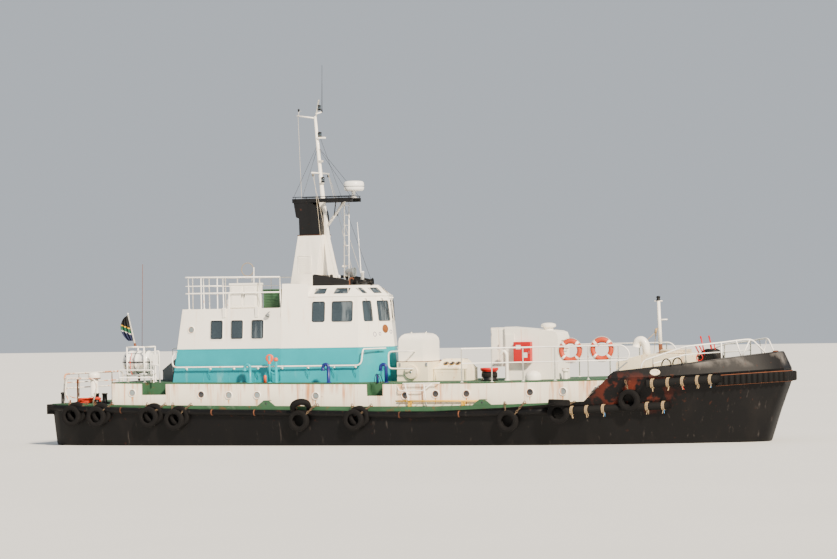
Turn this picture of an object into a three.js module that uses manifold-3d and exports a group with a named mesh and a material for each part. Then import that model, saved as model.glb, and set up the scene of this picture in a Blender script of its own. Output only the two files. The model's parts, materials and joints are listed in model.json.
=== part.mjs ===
// A twin-screw harbour tug in millimetres: +X to the bow, +Y to port, +Z up, origin at the waterline
// Hull and decks come first, then the houses, the funnel and mast, the deck gear, and what moves.
import * as THREE from "three";
import { mergeVertices } from "three/addons/utils/BufferGeometryUtils.js";
import Module from "manifold-3d";

const wasm = await Module();
wasm.setup();

// Driving dimensions
const seat = 0.3; // clearance where one piece rests on another
const sides = { starboard: -1, port: 1 };
const transomX = -12200;
const noseX = 12100;
const keelZ = -2100;
const keelHalf = 60;
const trunkHalf = 2850;
const trunkEnds = [-9900, 7150];
const houseAftX = -7995;
const houseSplitX = -4150;
const houseHalf = 2150; // at the trunk deck
const houseLean = 0.083; // how far each side leans in for each unit of height
const houseRake = 0.128; // how far the aft wall leans forward
const houseWall = 70;
const upperDeckZ = 4390;
const bandZ = 3090; // top of the coloured band, and the wheelhouse floor
const browZ = 4730; // where the wheelhouse walls turn in
const roofZ = 5080;
const railR = 24;
const postR = 20;

// Top of the hull, stern to bow: the main deck, the slope up to the fore deck, and the fore deck
const mainDeckLine = [
  // x, z
  [-12200, 1370],
  [-9000, 1320],
  [-5000, 1275],
  [-1000, 1235],
  [1500, 1228],
  [4000, 1280],
  [6460, 1350],
  [7180, 2040],
  [9000, 2100],
  [10350, 2165],
  [11700, 2235],
  [12100, 2255],
];

// Top of the raised trunk deck
const trunkDeckLine = [
  // x, z
  [-9900, 2060],
  [-8300, 2030],
  [-900, 1965],
  [3000, 1962],
  [7150, 2025],
];

// Hull sections: the bilge is a rounded quarter from the keel to its turn, with a straight side above
const hullStations = [
  // x, bottom z, turn y, turn z, fullness, deck y
  [-12200, -220, 2330, 300, 0.6, 2560],
  [-11900, -330, 2560, 250, 0.6, 2800],
  [-11000, -600, 2760, 200, 0.6, 2980],
  [-9500, -900, 2900, 120, 0.62, 3080],
  [-7500, -1300, 2990, 60, 0.66, 3130],
  [-4000, -1750, 3050, 0, 0.7, 3150],
  [0, -1900, 3060, 0, 0.72, 3150],
  [3000, -1950, 3000, 0, 0.78, 3150],
  [5000, -1950, 2800, 0, 0.85, 3120],
  [6460, -1900, 2560, 0, 0.92, 3050],
  [7180, -1850, 2380, 50, 0.95, 2960],
  [8500, -1700, 1950, 100, 1, 2680],
  [9600, -1450, 1480, 150, 1.05, 2300],
  [10350, -1150, 1120, 200, 1.1, 1960],
  [11000, -700, 830, 400, 1.1, 1560],
  [11500, 0, 640, 900, 1, 1160],
  [11800, 900, 500, 1400, 1, 880],
  [12000, 1430, 440, 1750, 1, 610],
  [12100, 1700, 400, 1900, 1, 450],
];

// Portholes in the trunk are trim; its two boarding steps on each side are not
const trunkSteps = [
  // first x, last x, bottom z
  [-8760, -7900, 1640],
  [-840, -300, 1560],
];

// Tyres hung along the sides, with the ones that have a second tyre behind them
const tyreR = 340;
const tyreTube = 100;
const tyreTable = [
  // x, z, doubled
  [-11260, 980, 1],
  [-10290, 950, 1],
  [-8350, 940, 1],
  [-7420, 850, 1],
  [-2960, 1200, 0],
  [-3020, 800, 0],
  [-1120, 820, 1],
  [4020, 760, 0],
];
const bowTyres = [
  [5720, 1010, 0],
  [7840, 1370, 0],
];

// Reading a line of [x, value] pairs
function lineAt(line, x, column = 1) {
  if (x <= line[0][0]) return line[0][column];
  for (let i = 1; i < line.length; i++) {
    const [a, b] = [line[i - 1], line[i]];
    if (x <= b[0]) return a[column] + ((b[column] - a[column]) * (x - a[0])) / (b[0] - a[0]);
  }
  return line[line.length - 1][column];
}
const deckZ = (x) => lineAt(mainDeckLine, x);
const trunkZ = (x) => lineAt(trunkDeckLine, x);
const deckHalf = (x) => lineAt(hullStations, x, 5);

// Half the hull's breadth at a height above its bilge
function hullHalf(x, z) {
  const turnY = lineAt(hullStations, x, 2);
  const turnZ = lineAt(hullStations, x, 3);
  const part = (z - turnZ) / (deckZ(x) - turnZ);
  return turnY + (deckHalf(x) - turnY) * Math.max(0, part);
}

// A closed three.js geometry as a solid, its faces turned outwards
function solid(geometry) {
  const flat = geometry.index ? geometry.toNonIndexed() : geometry;
  const bare = new THREE.BufferGeometry().setAttribute("position", flat.getAttribute("position"));
  const merged = mergeVertices(bare, 5e-3);
  const index = merged.index.array;
  const kept = [];
  for (let i = 0; i < index.length; i += 3) {
    const [a, b, c] = [index[i], index[i + 1], index[i + 2]];
    if (a !== b && b !== c && c !== a) kept.push(a, b, c);
  }
  const make = (list) =>
    new wasm.Manifold(
      new wasm.Mesh({
        numProp: 3,
        vertProperties: merged.attributes.position.array,
        triVerts: new Uint32Array(list),
      }),
    );
  const made = make(kept);
  if (made.volume() > 0) return made;
  const turned = [];
  for (let i = 0; i < kept.length; i += 3) turned.push(kept[i], kept[i + 2], kept[i + 1]);
  return make(turned);
}
const join = (...pieces) => pieces.flat(3).reduce((whole, piece) => whole.add(piece));
const cut = (whole, ...tools) => tools.flat(3).reduce((left, tool) => left.subtract(tool), whole);

function block(x0, x1, y0, y1, z0, z1) {
  const box = new THREE.BoxGeometry(Math.abs(x1 - x0), Math.abs(y1 - y0), Math.abs(z1 - z0));
  return solid(box.translate((x0 + x1) / 2, (y0 + y1) / 2, (z0 + z1) / 2));
}

// A round bar or cone between two points
function rod(from, to, radius, facets = 8, endRadius = radius) {
  const [a, b] = [new THREE.Vector3(...from), new THREE.Vector3(...to)];
  const along = b.clone().sub(a);
  const bar = new THREE.CylinderGeometry(endRadius, radius, along.length(), facets);
  const turn = new THREE.Quaternion().setFromUnitVectors(
    new THREE.Vector3(0, 1, 0),
    along.clone().normalize(),
  );
  return solid(bar.applyQuaternion(turn).translate(...a.add(b).multiplyScalar(0.5).toArray()));
}

// An outline in X and Z, extruded across the boat
function sidePlate(outline, y0, y1) {
  const shape = new THREE.Shape(outline.map(([x, z]) => new THREE.Vector2(x, z)));
  const plate = new THREE.ExtrudeGeometry(shape, { depth: Math.abs(y1 - y0), bevelEnabled: false });
  return solid(plate.rotateX(Math.PI / 2).translate(0, Math.max(y0, y1), 0));
}

// An outline in X and Y, extruded upwards
function floorPlate(outline, z0, z1) {
  const shape = new THREE.Shape(outline.map(([x, y]) => new THREE.Vector2(x, y)));
  const plate = new THREE.ExtrudeGeometry(shape, { depth: z1 - z0, bevelEnabled: false });
  return solid(plate.translate(0, 0, z0));
}

// A solid of revolution about a vertical axis, from [radius, z] pairs that start and end on the axis
function turned(profile, x, y, facets = 16) {
  const points = profile.map(([r, z]) => new THREE.Vector2(r, z));
  return solid(new THREE.LatheGeometry(points, facets).rotateX(Math.PI / 2).translate(x, y, 0));
}

// A skin through equal rings of points, closed at both ends; axes are those that the ends are drawn in
function loft(rings, axes = [1, 2]) {
  const spots = [];
  const put = (...points) => points.forEach((p) => spots.push(...p));
  rings.slice(1).forEach((next, i) => {
    const ring = rings[i];
    ring.forEach((p, j) => {
      const k = (j + 1) % ring.length;
      put(p, ring[k], next[k], p, next[k], next[j]);
    });
  });
  const flat = (ring) => ring.map((p) => new THREE.Vector2(p[axes[0]], p[axes[1]]));
  [rings[0], rings[rings.length - 1]].forEach((ring, end) => {
    const drawn = flat(ring);
    const way = Math.sign(THREE.ShapeUtils.area(drawn)) * (end ? 1 : -1);
    THREE.ShapeUtils.triangulateShape(drawn, []).forEach((face) => {
      const area = THREE.ShapeUtils.area(face.map((n) => drawn[n]));
      const order = Math.sign(area) === way ? face : [face[0], face[2], face[1]];
      put(...order.map((n) => ring[n]));
    });
  });
  const skin = new THREE.BufferGeometry();
  skin.setAttribute("position", new THREE.Float32BufferAttribute(spots, 3));
  return solid(skin);
}

// A route through given points, whose steps are those points, for pipes and rails
class Route extends THREE.Curve {
  constructor(points) {
    super();
    this.points = points.map((p) => new THREE.Vector3(...p));
  }
  getUtoTmapping(u) {
    return u;
  }
  getPoint(t, target = new THREE.Vector3()) {
    const last = this.points.length - 1;
    const i = Math.min(Math.floor(t * last + 1e-9), last - 1);
    return target.lerpVectors(this.points[i], this.points[i + 1], t * last - i);
  }
  getTangent(t, target = new THREE.Vector3()) {
    const last = this.points.length - 1;
    const i = Math.round(t * last);
    const before = this.points[Math.max(i - 1, 0)];
    const here = this.points[i];
    const after = this.points[Math.min(i + 1, last)];
    const arriving = here.clone().sub(before).normalize();
    const leaving = after.clone().sub(here).normalize();
    return target.copy(arriving.add(leaving)).normalize();
  }
}

function pipe(points, radius, facets = 6) {
  const ring = Array.from({ length: facets }, (_, n) => {
    const angle = ((n + 0.5) / facets) * 2 * Math.PI;
    return new THREE.Vector2(radius * Math.cos(angle), radius * Math.sin(angle));
  });
  const settings = { steps: points.length - 1, extrudePath: new Route(points), bevelEnabled: false };
  return solid(new THREE.ExtrudeGeometry(new THREE.Shape(ring), settings));
}

// The same points with each inner corner rounded by a short curve
function rounded(points, radius, steps = 3) {
  const spots = points.map((p) => new THREE.Vector3(...p));
  const route = [spots[0]];
  for (let i = 1; i < spots.length - 1; i++) {
    const back = spots[i - 1].clone().sub(spots[i]);
    const on = spots[i + 1].clone().sub(spots[i]);
    const reach = Math.min(radius, back.length() / 2.1, on.length() / 2.1);
    const curve = new THREE.QuadraticBezierCurve3(
      spots[i].clone().addScaledVector(back.normalize(), reach),
      spots[i],
      spots[i].clone().addScaledVector(on.normalize(), reach),
    );
    route.push(...curve.getPoints(steps));
  }
  route.push(spots[spots.length - 1]);
  return route.map((p) => p.toArray());
}

// A rail: its bars as routes, and its posts as [x, y, foot z, head z]
function rail(bars, posts, radius = railR, grow = 0) {
  const uprights = posts.map(([x, y, foot, head]) => rod([x, y, foot], [x, y, head], postR + grow, 5));
  return join(
    bars.map((bar) => pipe(bar, radius + grow, 5)),
    uprights,
  );
}

// The tug's scene graph
const tug = new THREE.Group();
tug.name = "tug";
const looks = {};
function look(name, color, roughness, metalness = 0) {
  looks[name] = { color, roughness, metalness };
}
look("hullBlack", 0x1b1a1b, 0.55);
look("white", 0xece7e0, 0.45);
look("cream", 0xe2d8bf, 0.55);
look("deckGreen", 0x3c6e50, 0.7);
look("teal", 0x42abb2, 0.45);
look("rubber", 0x191919, 0.9);
look("black", 0x16171a, 0.6);
look("glass", 0x26343c, 0.1);
look("red", 0xd0161c, 0.45);
look("orange", 0xd2502a, 0.6);
look("yellow", 0xd6a11f, 0.55);
look("bronze", 0xa9853f, 0.35, 0.9);
look("grey", 0x6d7275, 0.6);
look("wood", 0x7a5a3a, 0.7);
look("cloth", 0x1f3f38, 0.9);

function add(group, name, whole, finish, pivot = [0, 0, 0]) {
  const drawn = whole.getMesh();
  const geometry = new THREE.BufferGeometry();
  geometry.setAttribute("position", new THREE.BufferAttribute(drawn.vertProperties, drawn.numProp));
  geometry.setIndex(new THREE.BufferAttribute(drawn.triVerts, 1));
  geometry.translate(-pivot[0], -pivot[1], -pivot[2]);
  const mesh = new THREE.Mesh(geometry, new THREE.MeshStandardMaterial(looks[finish]));
  mesh.name = name;
  mesh.position.set(...pivot);
  group.add(mesh);
  return mesh;
}
function section(name) {
  const group = new THREE.Group();
  group.name = name;
  tug.add(group);
  return group;
}

// Hull: a loft through its sections. A grown copy cuts what lies against it.
function hullSkin(grow = 0) {
  const steps = 5;
  const both = [...hullStations, ...mainDeckLine].map((row) => row[0]);
  const xs = [...new Set(both)].sort((a, b) => a - b);
  const rings = xs.map((x, n) => {
    const [bottom, turnY, turnZ, fullness, deckY] = [1, 2, 3, 4, 5].map((c) => lineAt(hullStations, x, c));
    const half = [];
    for (let k = 0; k <= steps; k++) {
      const angle = (k / steps) * (Math.PI / 2);
      const out = Math.sin(angle) ** fullness;
      const up = 1 - Math.max(Math.cos(angle), 0) ** fullness;
      half.push([keelHalf + (turnY - keelHalf) * out + grow, bottom + (turnZ - bottom) * up - grow]);
    }
    half.push([deckY + grow, deckZ(x) + grow]);
    const end = n === 0 ? -grow : n === xs.length - 1 ? grow : 0;
    const port = half.map(([y, z]) => [x + end, y, z]);
    const starboard = half.map(([y, z]) => [x + end, -y, z]).reverse();
    return [...starboard, ...port];
  });
  return loft(rings);
}
const hullCutter = hullSkin(0.6);

// All that lies under a deck line, to seat pieces on that deck
function under(line, grow) {
  const far = 14000;
  const low = -600;
  const first = line[0];
  const last = line[line.length - 1];
  const top = line.map(([x, z]) => [x, z + grow]);
  const outline = [[first[0] - grow, low], [last[0] + grow, low], ...top.reverse()];
  outline[outline.length - 1][0] -= grow;
  outline[2][0] += grow;
  return sidePlate(outline, -far / 3, far / 3);
}
const underMain = under(mainDeckLine, seat);
const underTrunk = under(trunkDeckLine, seat);
const seated = (piece) => cut(piece, underMain, underTrunk);

const rudderX = -11150;
const shaftY = 1080;
const shaftZ = -1420;
const propX = -10200;
const bossZ = -880;

function hull() {
  const keel = sidePlate(
    [
      [-9100, -800],
      [-8700, keelZ],
      [6800, keelZ],
      [9300, -1650],
      [10300, -1000],
      [2000, -900],
    ],
    -75,
    75,
  );
  const bosses = Object.values(sides).map((side) =>
    rod([rudderX, side * shaftY, -300], [rudderX, side * shaftY, bossZ], 110, 10),
  );
  const shafts = Object.values(sides).map((side) => {
    const y = side * shaftY;
    const end = propX + 130 + seat;
    return [
      rod([-5600, y, shaftZ], [end, y, shaftZ], 55, 10),
      rod([end + 330, y, shaftZ], [end + 60, y, shaftZ], 95, 10),
      block(end + 90, end + 290, y - 22, y + 22, shaftZ, -500),
    ];
  });
  return join(hullSkin(), keel, bosses, shafts);
}

// Raised trunk between the main deck and the upper works
function trunk() {
  const rings = [
    [trunkEnds[0], trunkHalf - 60],
    [trunkEnds[0] + 60, trunkHalf],
    [-8300, trunkHalf],
    [-900, trunkHalf],
    [3000, trunkHalf],
    [5500, trunkHalf],
    [trunkEnds[1], trunkHalf - 120],
  ].map(([x, half]) => [
    [x, -half, 1000],
    [x, half, 1000],
    [x, half, trunkZ(x)],
    [x, -half, trunkZ(x)],
  ]);
  const depth = 350;
  const steps = Object.values(sides).flatMap((side) =>
    trunkSteps.map(([x0, x1, z0]) =>
      block(x0, x1, side * (trunkHalf - depth), side * (trunkHalf + 200), z0, 2500),
    ),
  );
  return join(cut(loft(rings), underMain, steps), sideVents());
}

// Gooseneck vents and pipes on the trunk deck beside the houses, alike on both sides
const sideVentY = 2420;
const sideVentTable = [
  // x, head z, hooked aft
  [-5090, 2630, 1],
  [-4170, 2720, 0],
  [-4400, 2880, 0],
  [-2340, 2620, 1],
  [-350, 2600, 1],
];
function sideVents() {
  const radius = 55;
  return Object.values(sides).flatMap((side) =>
    sideVentTable.map(([x, head, hooked]) => {
      const y = side * sideVentY;
      const foot = trunkZ(x) - 50;
      if (!hooked) return rod([x, y, foot], [x, y, head], radius * 0.8, 6);
      const bend = [0, 1, 2, 3, 4].map((n) => {
        const angle = (n / 4) * Math.PI;
        return [x - 95 * (1 - Math.cos(angle)), y, head - 150 + 95 * Math.sin(angle)];
      });
      return pipe([[x, y, foot], ...bend, [x - 190, y, head - 230]], radius, 6);
    }),
  );
}

// Bulwark round the bow, leaning inboard, from its foot on the deck edge to its head
const bulwarkHead = [
  // x, head z, lean
  [7210, 2075, 15],
  [7410, 2240, 40],
  [8500, 2350, 90],
  [9600, 2460, 135],
  [10350, 2560, 180],
  [11000, 2630, 200],
  [11500, 2690, 210],
  [11800, 2720, 215],
  [12000, 2745, 220],
  [12100, 2755, 225],
];
function bulwark() {
  const thickness = 55;
  const start = bulwarkHead[0][0];
  const xs = bulwarkHead.map((row) => row[0]);
  const outline = xs.map((x) => {
    const near = 40;
    const slope = (deckHalf(Math.min(x + near, noseX)) - deckHalf(x - near)) / (2 * near);
    const out = new THREE.Vector2(-slope, 1).normalize();
    return { x, y: deckHalf(x), out: x === start ? [0, 1] : [out.x, out.y] };
  });
  outline[outline.length - 1].out = [0.9, 0.44];
  const port = outline.map(({ x, y, out }) => {
    const lean = lineAt(bulwarkHead, x, 2);
    return {
      foot: [x, y, deckZ(x) + seat],
      head: [x - out[0] * lean, y - out[1] * lean, lineAt(bulwarkHead, x)],
      out,
    };
  });
  const flip = ([x, y, z]) => [x, -y, z];
  const starboard = port.map(({ foot, head, out }) => ({
    foot: flip(foot),
    head: flip(head),
    out: [out[0], -out[1]],
  }));
  return loft(
    [...starboard, ...port.reverse()].map(({ foot, head, out }) => {
      const inward = (p) => [p[0] - out[0] * thickness, p[1] - out[1] * thickness, p[2]];
      return [foot, head, inward(head), inward(foot)];
    }),
    [1, 2],
  );
}

// Rubbing strake along one side, with the tyres chained over it
const strakeR = 95;
const strakeOut = 40;
const strakeZ = (x) =>
  lineAt(
    [
      [-12150, 1240],
      [-9000, 1150],
      [-6500, 1085],
      [-3000, 1045],
      [1100, 960],
      [4000, 1020],
      [5900, 1080],
    ],
    x,
  );
const tyreFacets = 9;
function tyreShape() {
  const inner = tyreR - 2 * tyreTube;
  const [tread, rim] = [tyreTube - 12, tyreTube - 40]; // half the breadth at each
  const section = [
    [inner, -rim],
    [tyreR, -tread],
    [tyreR, tread],
    [inner, rim],
    [inner, -rim],
  ];
  return new THREE.LatheGeometry(
    section.map(([r, w]) => new THREE.Vector2(r, w)),
    tyreFacets,
  );
}
const tyre = (x, z, side, out) => solid(tyreShape().translate(x, side * out, z));
function strake(side) {
  const xs = [-12150, -11000, -9500, -7500, -4000, -1000, 2000, 4000, 5350];
  const bar = pipe(
    xs.map((x) => [x, side * (hullHalf(x, strakeZ(x)) + strakeOut), strakeZ(x)]),
    strakeR,
    6,
  );
  const tyres = tyreTable.flatMap(([x, z, doubled]) => {
    const out = hullHalf(x, z) + strakeOut + strakeR + tyreTube - 65;
    const behind = doubled ? [tyre(x + 150, z + 110, side, out - 90)] : [];
    return [tyre(x, z, side, out), ...behind];
  });
  return cut(join(bar, tyres), hullCutter);
}

// Round fender slung along the shoulder of the bow, low down, with two tyres over it
function shoulderFender(side) {
  const route = [5420, 6400, 7500, 8400, 9000].map((x) => {
    const z = 1050 + ((x - 5420) / 3580) * 150;
    return [x, side * (hullHalf(x, z) + 75), z];
  });
  const tyres = bowTyres.map(([x, z]) => tyre(x, z, side, hullHalf(x, 1100) + 75 + 120 + tyreTube - 25));
  const flat = tyreShape().rotateX(Math.PI / 2);
  const laid = solid(flat.translate(5760, side * (hullHalf(5760, 1320) + 240), 1330));
  return cut(join(pipe(route, 120, 8), tyres, laid), hullCutter);
}

// Ribbed block fender round the bow, scalloped in plan and following the sheer of the fore deck,
// with the round fenders that carry it aft
function bowFender() {
  const pitch = 184;
  const out = [60, 150, 172, 150]; // how far the skin stands out at each quarter of a rib
  const xs = [9000, 9600, 10350, 11000, 11500, 11800, 12000, 12100];
  const port = xs.map((x) => new THREE.Vector2(x, hullHalf(x, deckZ(x) - 220)));
  const ring = [...port.map((p) => new THREE.Vector2(p.x, -p.y)), ...port.reverse()];
  const path = new THREE.CurvePath();
  ring.slice(1).forEach((p, i) => path.add(new THREE.LineCurve(ring[i], p)));
  const whole = path.getLength();
  const ends = 1450;
  const ribs = Math.round((whole - 2 * ends) / pitch);
  const steps = ribs * out.length;
  const spots = Array.from({ length: steps + 1 }, (_, i) => {
    const u = (ends + (i * (whole - 2 * ends)) / steps) / whole;
    const [p, t] = [path.getPointAt(u), path.getTangentAt(u)];
    const at = (far) => [p.x + t.y * far, p.y - t.x * far];
    return { skin: at(out[i % out.length]), back: at(-20) };
  });
  const backs = spots.filter((_, i) => i % (2 * out.length) === 0 || i === steps).map((s) => s.back);
  const outline = [...spots.map((s) => s.skin), ...backs.reverse()];
  const shape = new THREE.Shape(outline.map((p) => new THREE.Vector2(...p)));
  const drawn = new THREE.ExtrudeGeometry(shape, { depth: 300, bevelEnabled: false });
  const spot = drawn.getAttribute("position");
  for (let i = 0; i < spot.count; i++)
    spot.setZ(i, spot.getZ(i) - 390 + deckZ(Math.min(spot.getX(i), noseX)));
  const arms = Object.values(sides).map((side) =>
    pipe(
      [8400, 9000, 9600, 10420].map((x) => {
        const z = 1870 + ((x - 8400) / 1950) * 110;
        return [x, side * (hullHalf(x, z) + 95), z];
      }),
      130,
      8,
    ),
  );
  return cut(join(solid(drawn), arms), hullCutter);
}

function sternFender() {
  return cut(
    join(
      block(transomX - 260, transomX + 40, -2480, 2480, 1020, 1345),
      [-1, 1].map((side) =>
        sidePlate(
          [
            [transomX - 20, 1020],
            [transomX + 40, 1020],
            [transomX + 40, 1345],
            [transomX - 20, 1345],
          ],
          side * 2400,
          side * 2540,
        ),
      ),
    ),
    hullCutter,
  );
}

const hullGroup = section("hull_group");
add(hullGroup, "hull", hull(), "hullBlack");
add(hullGroup, "trunk", trunk(), "white");
add(hullGroup, "bulwark", bulwark(), "hullBlack");
add(hullGroup, "bow_fender", bowFender(), "rubber");
add(hullGroup, "stern_fender", sternFender(), "rubber");
for (const [name, side] of Object.entries(sides)) {
  add(hullGroup, "strake_" + name, strake(side), "rubber");
  add(hullGroup, "shoulder_fender_" + name, shoulderFender(side), "rubber");
}

// Low house on the fore deck, from which the foremast rises
function foreHouse() {
  const half = 1450;
  return seated(
    sidePlate(
      [
        [6990, 1850],
        [9290, 1850],
        [9290, 2700],
        [9200, 2735],
        [7930, 2760],
        [7060, 2560],
        [6990, 2500],
      ],
      -half,
      half,
    ),
  );
}
add(hullGroup, "fore_house", foreHouse(), "cream");

// Side wall of the deckhouse at a height
const wallY = (z) => houseHalf - (z - 2000) * houseLean;
const aftWallX = (z) => houseAftX + (z - 2000) * houseRake;

// Aft part of the deckhouse, open to the wheelhouse's after wall
function cabinShell(inset) {
  const low = inset > 0 ? 1500 : 1900;
  const high = inset > 0 ? upperDeckZ - 60 : upperDeckZ - inset;
  const forward = inset > 0 ? houseSplitX + 500 : houseSplitX - seat;
  return loft(
    [low, high].map((z) => {
      const [x, y] = [aftWallX(z) + inset, wallY(z) - inset];
      return [
        [x, -y, z],
        [forward, -y, z],
        [forward, y, z],
        [x, y, z],
      ];
    }),
    [0, 1],
  );
}
const cabinWindows = [
  // first x, last x
  [-6670, -6220],
  [-5940, -5500],
  [-5210, -4770],
];
const cabinWindowZ = [3400, 4020];
const aftWindowY = [-1350, -750];
const doorWide = 700;
const doorZ = [2130, 3980];
const doorY = 1060; // inner edge of the cabin doorway
function cabin() {
  const cuts = Object.values(sides).flatMap((side) =>
    cabinWindows.map(([x0, x1]) => block(x0, x1, side * 1500, side * 2500, ...cabinWindowZ)),
  );
  const doorway = block(-8400, -7300, doorY, doorY + doorWide, ...doorZ);
  const aftWindow = block(-8400, -7300, ...aftWindowY, 3400, 3900);
  return seated(cut(cabinShell(0), cabinShell(houseWall), cuts, doorway, aftWindow));
}

// Wheelhouse outline at each level: its corner, knuckle and stem, going in above the brow
const wheelLevels = [
  // z, corner x, corner y, knuckle x, knuckle y, centre x
  [1900, -1565, 1760, -1185, 800, -900],
  [4730, -1702, 1460, -1468, 750, -1235],
  [5080, -2014, 1060, -1800, 550, -1600],
];
const browStartX = -3300;
const roofHalf = 1430; // at the after end of the brow
const casingTopZ = 5160;

// Half width at a place of the side walls, which draw in from the deckhouse to the wheelhouse's corners
function sideHalf(x, z) {
  const [low, high] = wheelLevels;
  const part = (z - low[0]) / (high[0] - low[0]);
  const [cornerX, cornerY] = [1, 2].map((column) => low[column] + (high[column] - low[column]) * part);
  const along = Math.max(0, (x - houseSplitX) / (cornerX - houseSplitX));
  return wallY(z) + (cornerY - wallY(z)) * along;
}
function wheelRing(z, aftX, aftHalf, inset) {
  const above = z > wheelLevels[1][0] ? 1 : 0;
  const [low, high] = [wheelLevels[above], wheelLevels[above + 1]];
  const part = (z - low[0]) / (high[0] - low[0]);
  const read = (column) => low[column] + (high[column] - low[column]) * part;
  const [cornerX, cornerY, knuckleX, knuckleY, centreX] = [1, 2, 3, 4, 5].map(read);
  const half = [
    [aftX, aftHalf - inset],
    [cornerX - inset * 0.6, cornerY - inset],
    [knuckleX - inset, knuckleY - inset * 0.3],
    [centreX - inset, 0],
  ];
  const port = half.map(([x, y]) => [x, y, z]);
  const starboard = half.slice(0, 3).reverse();
  return [...port, ...starboard.map(([x, y]) => [x, -y, z])];
}
function wheelhouseSolid(inset) {
  const aftX = houseSplitX + inset;
  const low = inset > 0 ? 1500 : 1900;
  const plate = inset > 0 ? 60 : inset;
  const walls = loft(
    [low, browZ].map((z) => wheelRing(z, aftX, wallY(z), inset)),
    [0, 1],
  );
  const browHalf = sideHalf(browStartX, browZ);
  const brows = loft(
    [browZ, roofZ - plate].map((z) => {
      const part = (z - browZ) / (roofZ - browZ);
      return wheelRing(z, browStartX - inset, browHalf + (roofHalf - browHalf) * part, inset);
    }),
    [0, 1],
  );
  const casing = loft(
    [browZ, casingTopZ - plate].map((z) => {
      const near = wallY(z) - inset;
      const far = sideHalf(browStartX, z) - inset;
      const x = browStartX - inset;
      return [
        [aftX, -near, z],
        [x, -far, z],
        [x, far, z],
        [aftX, near, z],
      ];
    }),
    [0, 1],
  );
  return join(walls, brows, casing);
}
const sideWindows = [
  // first x, last x
  [-3170, -2730],
  [-2530, -1830],
];
const browWindows = [
  [-3150, -2770],
  [-2520, -2040],
];
const frontWindows = [
  // first y, last y
  [865, 1304],
  [60, 633],
];
const browFrontWindows = [
  [880, 1110],
  [190, 600],
];
const windowZ = [3900, 4580];
const browWindowZ = [4800, 4990];
function wheelhouseOpenings(reach) {
  return Object.values(sides).flatMap((side) => [
    ...sideWindows.map(([x0, x1]) => block(x0, x1, side * 1350, side * 2500, ...windowZ)),
    ...browWindows.map(([x0, x1]) => block(x0, x1, side * 1000, side * 2500, ...browWindowZ)),
    ...frontWindows.map(([y0, y1]) => block(-2000, reach, side * y0, side * y1, ...windowZ)),
    ...browFrontWindows.map(([y0, y1]) =>
      block(-2150, reach, side * y0, side * y1, ...browWindowZ),
    ),
  ]);
}
function wheelhouse() {
  const shell = cut(wheelhouseSolid(0), wheelhouseSolid(houseWall), wheelhouseOpenings(-500));
  const passage = block(houseSplitX - 200, houseSplitX + 200, -1500, -800, 1500, 3600);
  return seated(cut(shell, passage));
}

// Panes: a thin lining behind each run of windows, which carries them as one piece
const paneThick = 12;
function cabinPanes() {
  const near = houseWall + 0.5;
  const [z0, z1] = [cabinWindowZ[0] - 50, cabinWindowZ[1] + 50];
  const lining = cut(cabinShell(near), cabinShell(near + paneThick));
  const doorway = block(-9000, -7000, doorY - 60, doorY + doorWide + 60, z0 - 50, doorZ[1] + 10);
  return cut(lining, doorway).intersect(
    block(-9000, cabinWindows[2][1] + 60, -2500, 2500, z0, z1),
  );
}
function wheelhousePanes() {
  const outer = wheelhouseSolid(houseWall + 0.6);
  const inner = wheelhouseSolid(houseWall + 0.6 + paneThick);
  const keep = block(-3230, -500, -2500, 2500, 3850, 5005);
  return cut(outer, inner).intersect(keep);
}

// Wheelhouse floor, and the helm: a desk with the chair on its footboard
function wheelhouseFloor() {
  const half = houseHalf + 50;
  return wheelhouseSolid(houseWall + 0.8).intersect(block(-5000, 0, -half, half, bandZ - 60, bandZ));
}
function helm() {
  const desk = sidePlate(
    [
      [-2120, bandZ + seat],
      [-1640, bandZ + seat],
      [-1640, 3880],
      [-1800, 4000],
      [-2180, 3840],
      [-2180, 3700],
      [-2120, 3700],
    ],
    -1200,
    1200,
  );
  const x = -2850; // the chair's pedestal
  const chair = [
    block(x - 230, -2100, -250, 250, bandZ + seat, bandZ + 40),
    rod([x, 0, bandZ + 30], [x, 0, bandZ + 420], 45, 8),
    block(x - 250, x + 250, -250, 250, bandZ + 410, bandZ + 520),
    sidePlate(
      [
        [x - 250, bandZ + 500],
        [x - 160, bandZ + 500],
        [x - 230, bandZ + 1150],
        [x - 310, bandZ + 1150],
      ],
      -230,
      230,
    ),
    [-1, 1].map((side) => block(x - 240, x + 120, side * 235, side * 290, bandZ + 470, bandZ + 700)),
  ];
  return join(desk, chair);
}

const houseGroup = section("house_group");
add(houseGroup, "wheelhouse", wheelhouse(), "white");
add(houseGroup, "deckhouse_panes", cabinPanes(), "glass");
add(houseGroup, "wheelhouse_panes", wheelhousePanes(), "glass");
add(houseGroup, "wheelhouse_floor", wheelhouseFloor(), "wood");
add(houseGroup, "helm", helm(), "grey");

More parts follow.
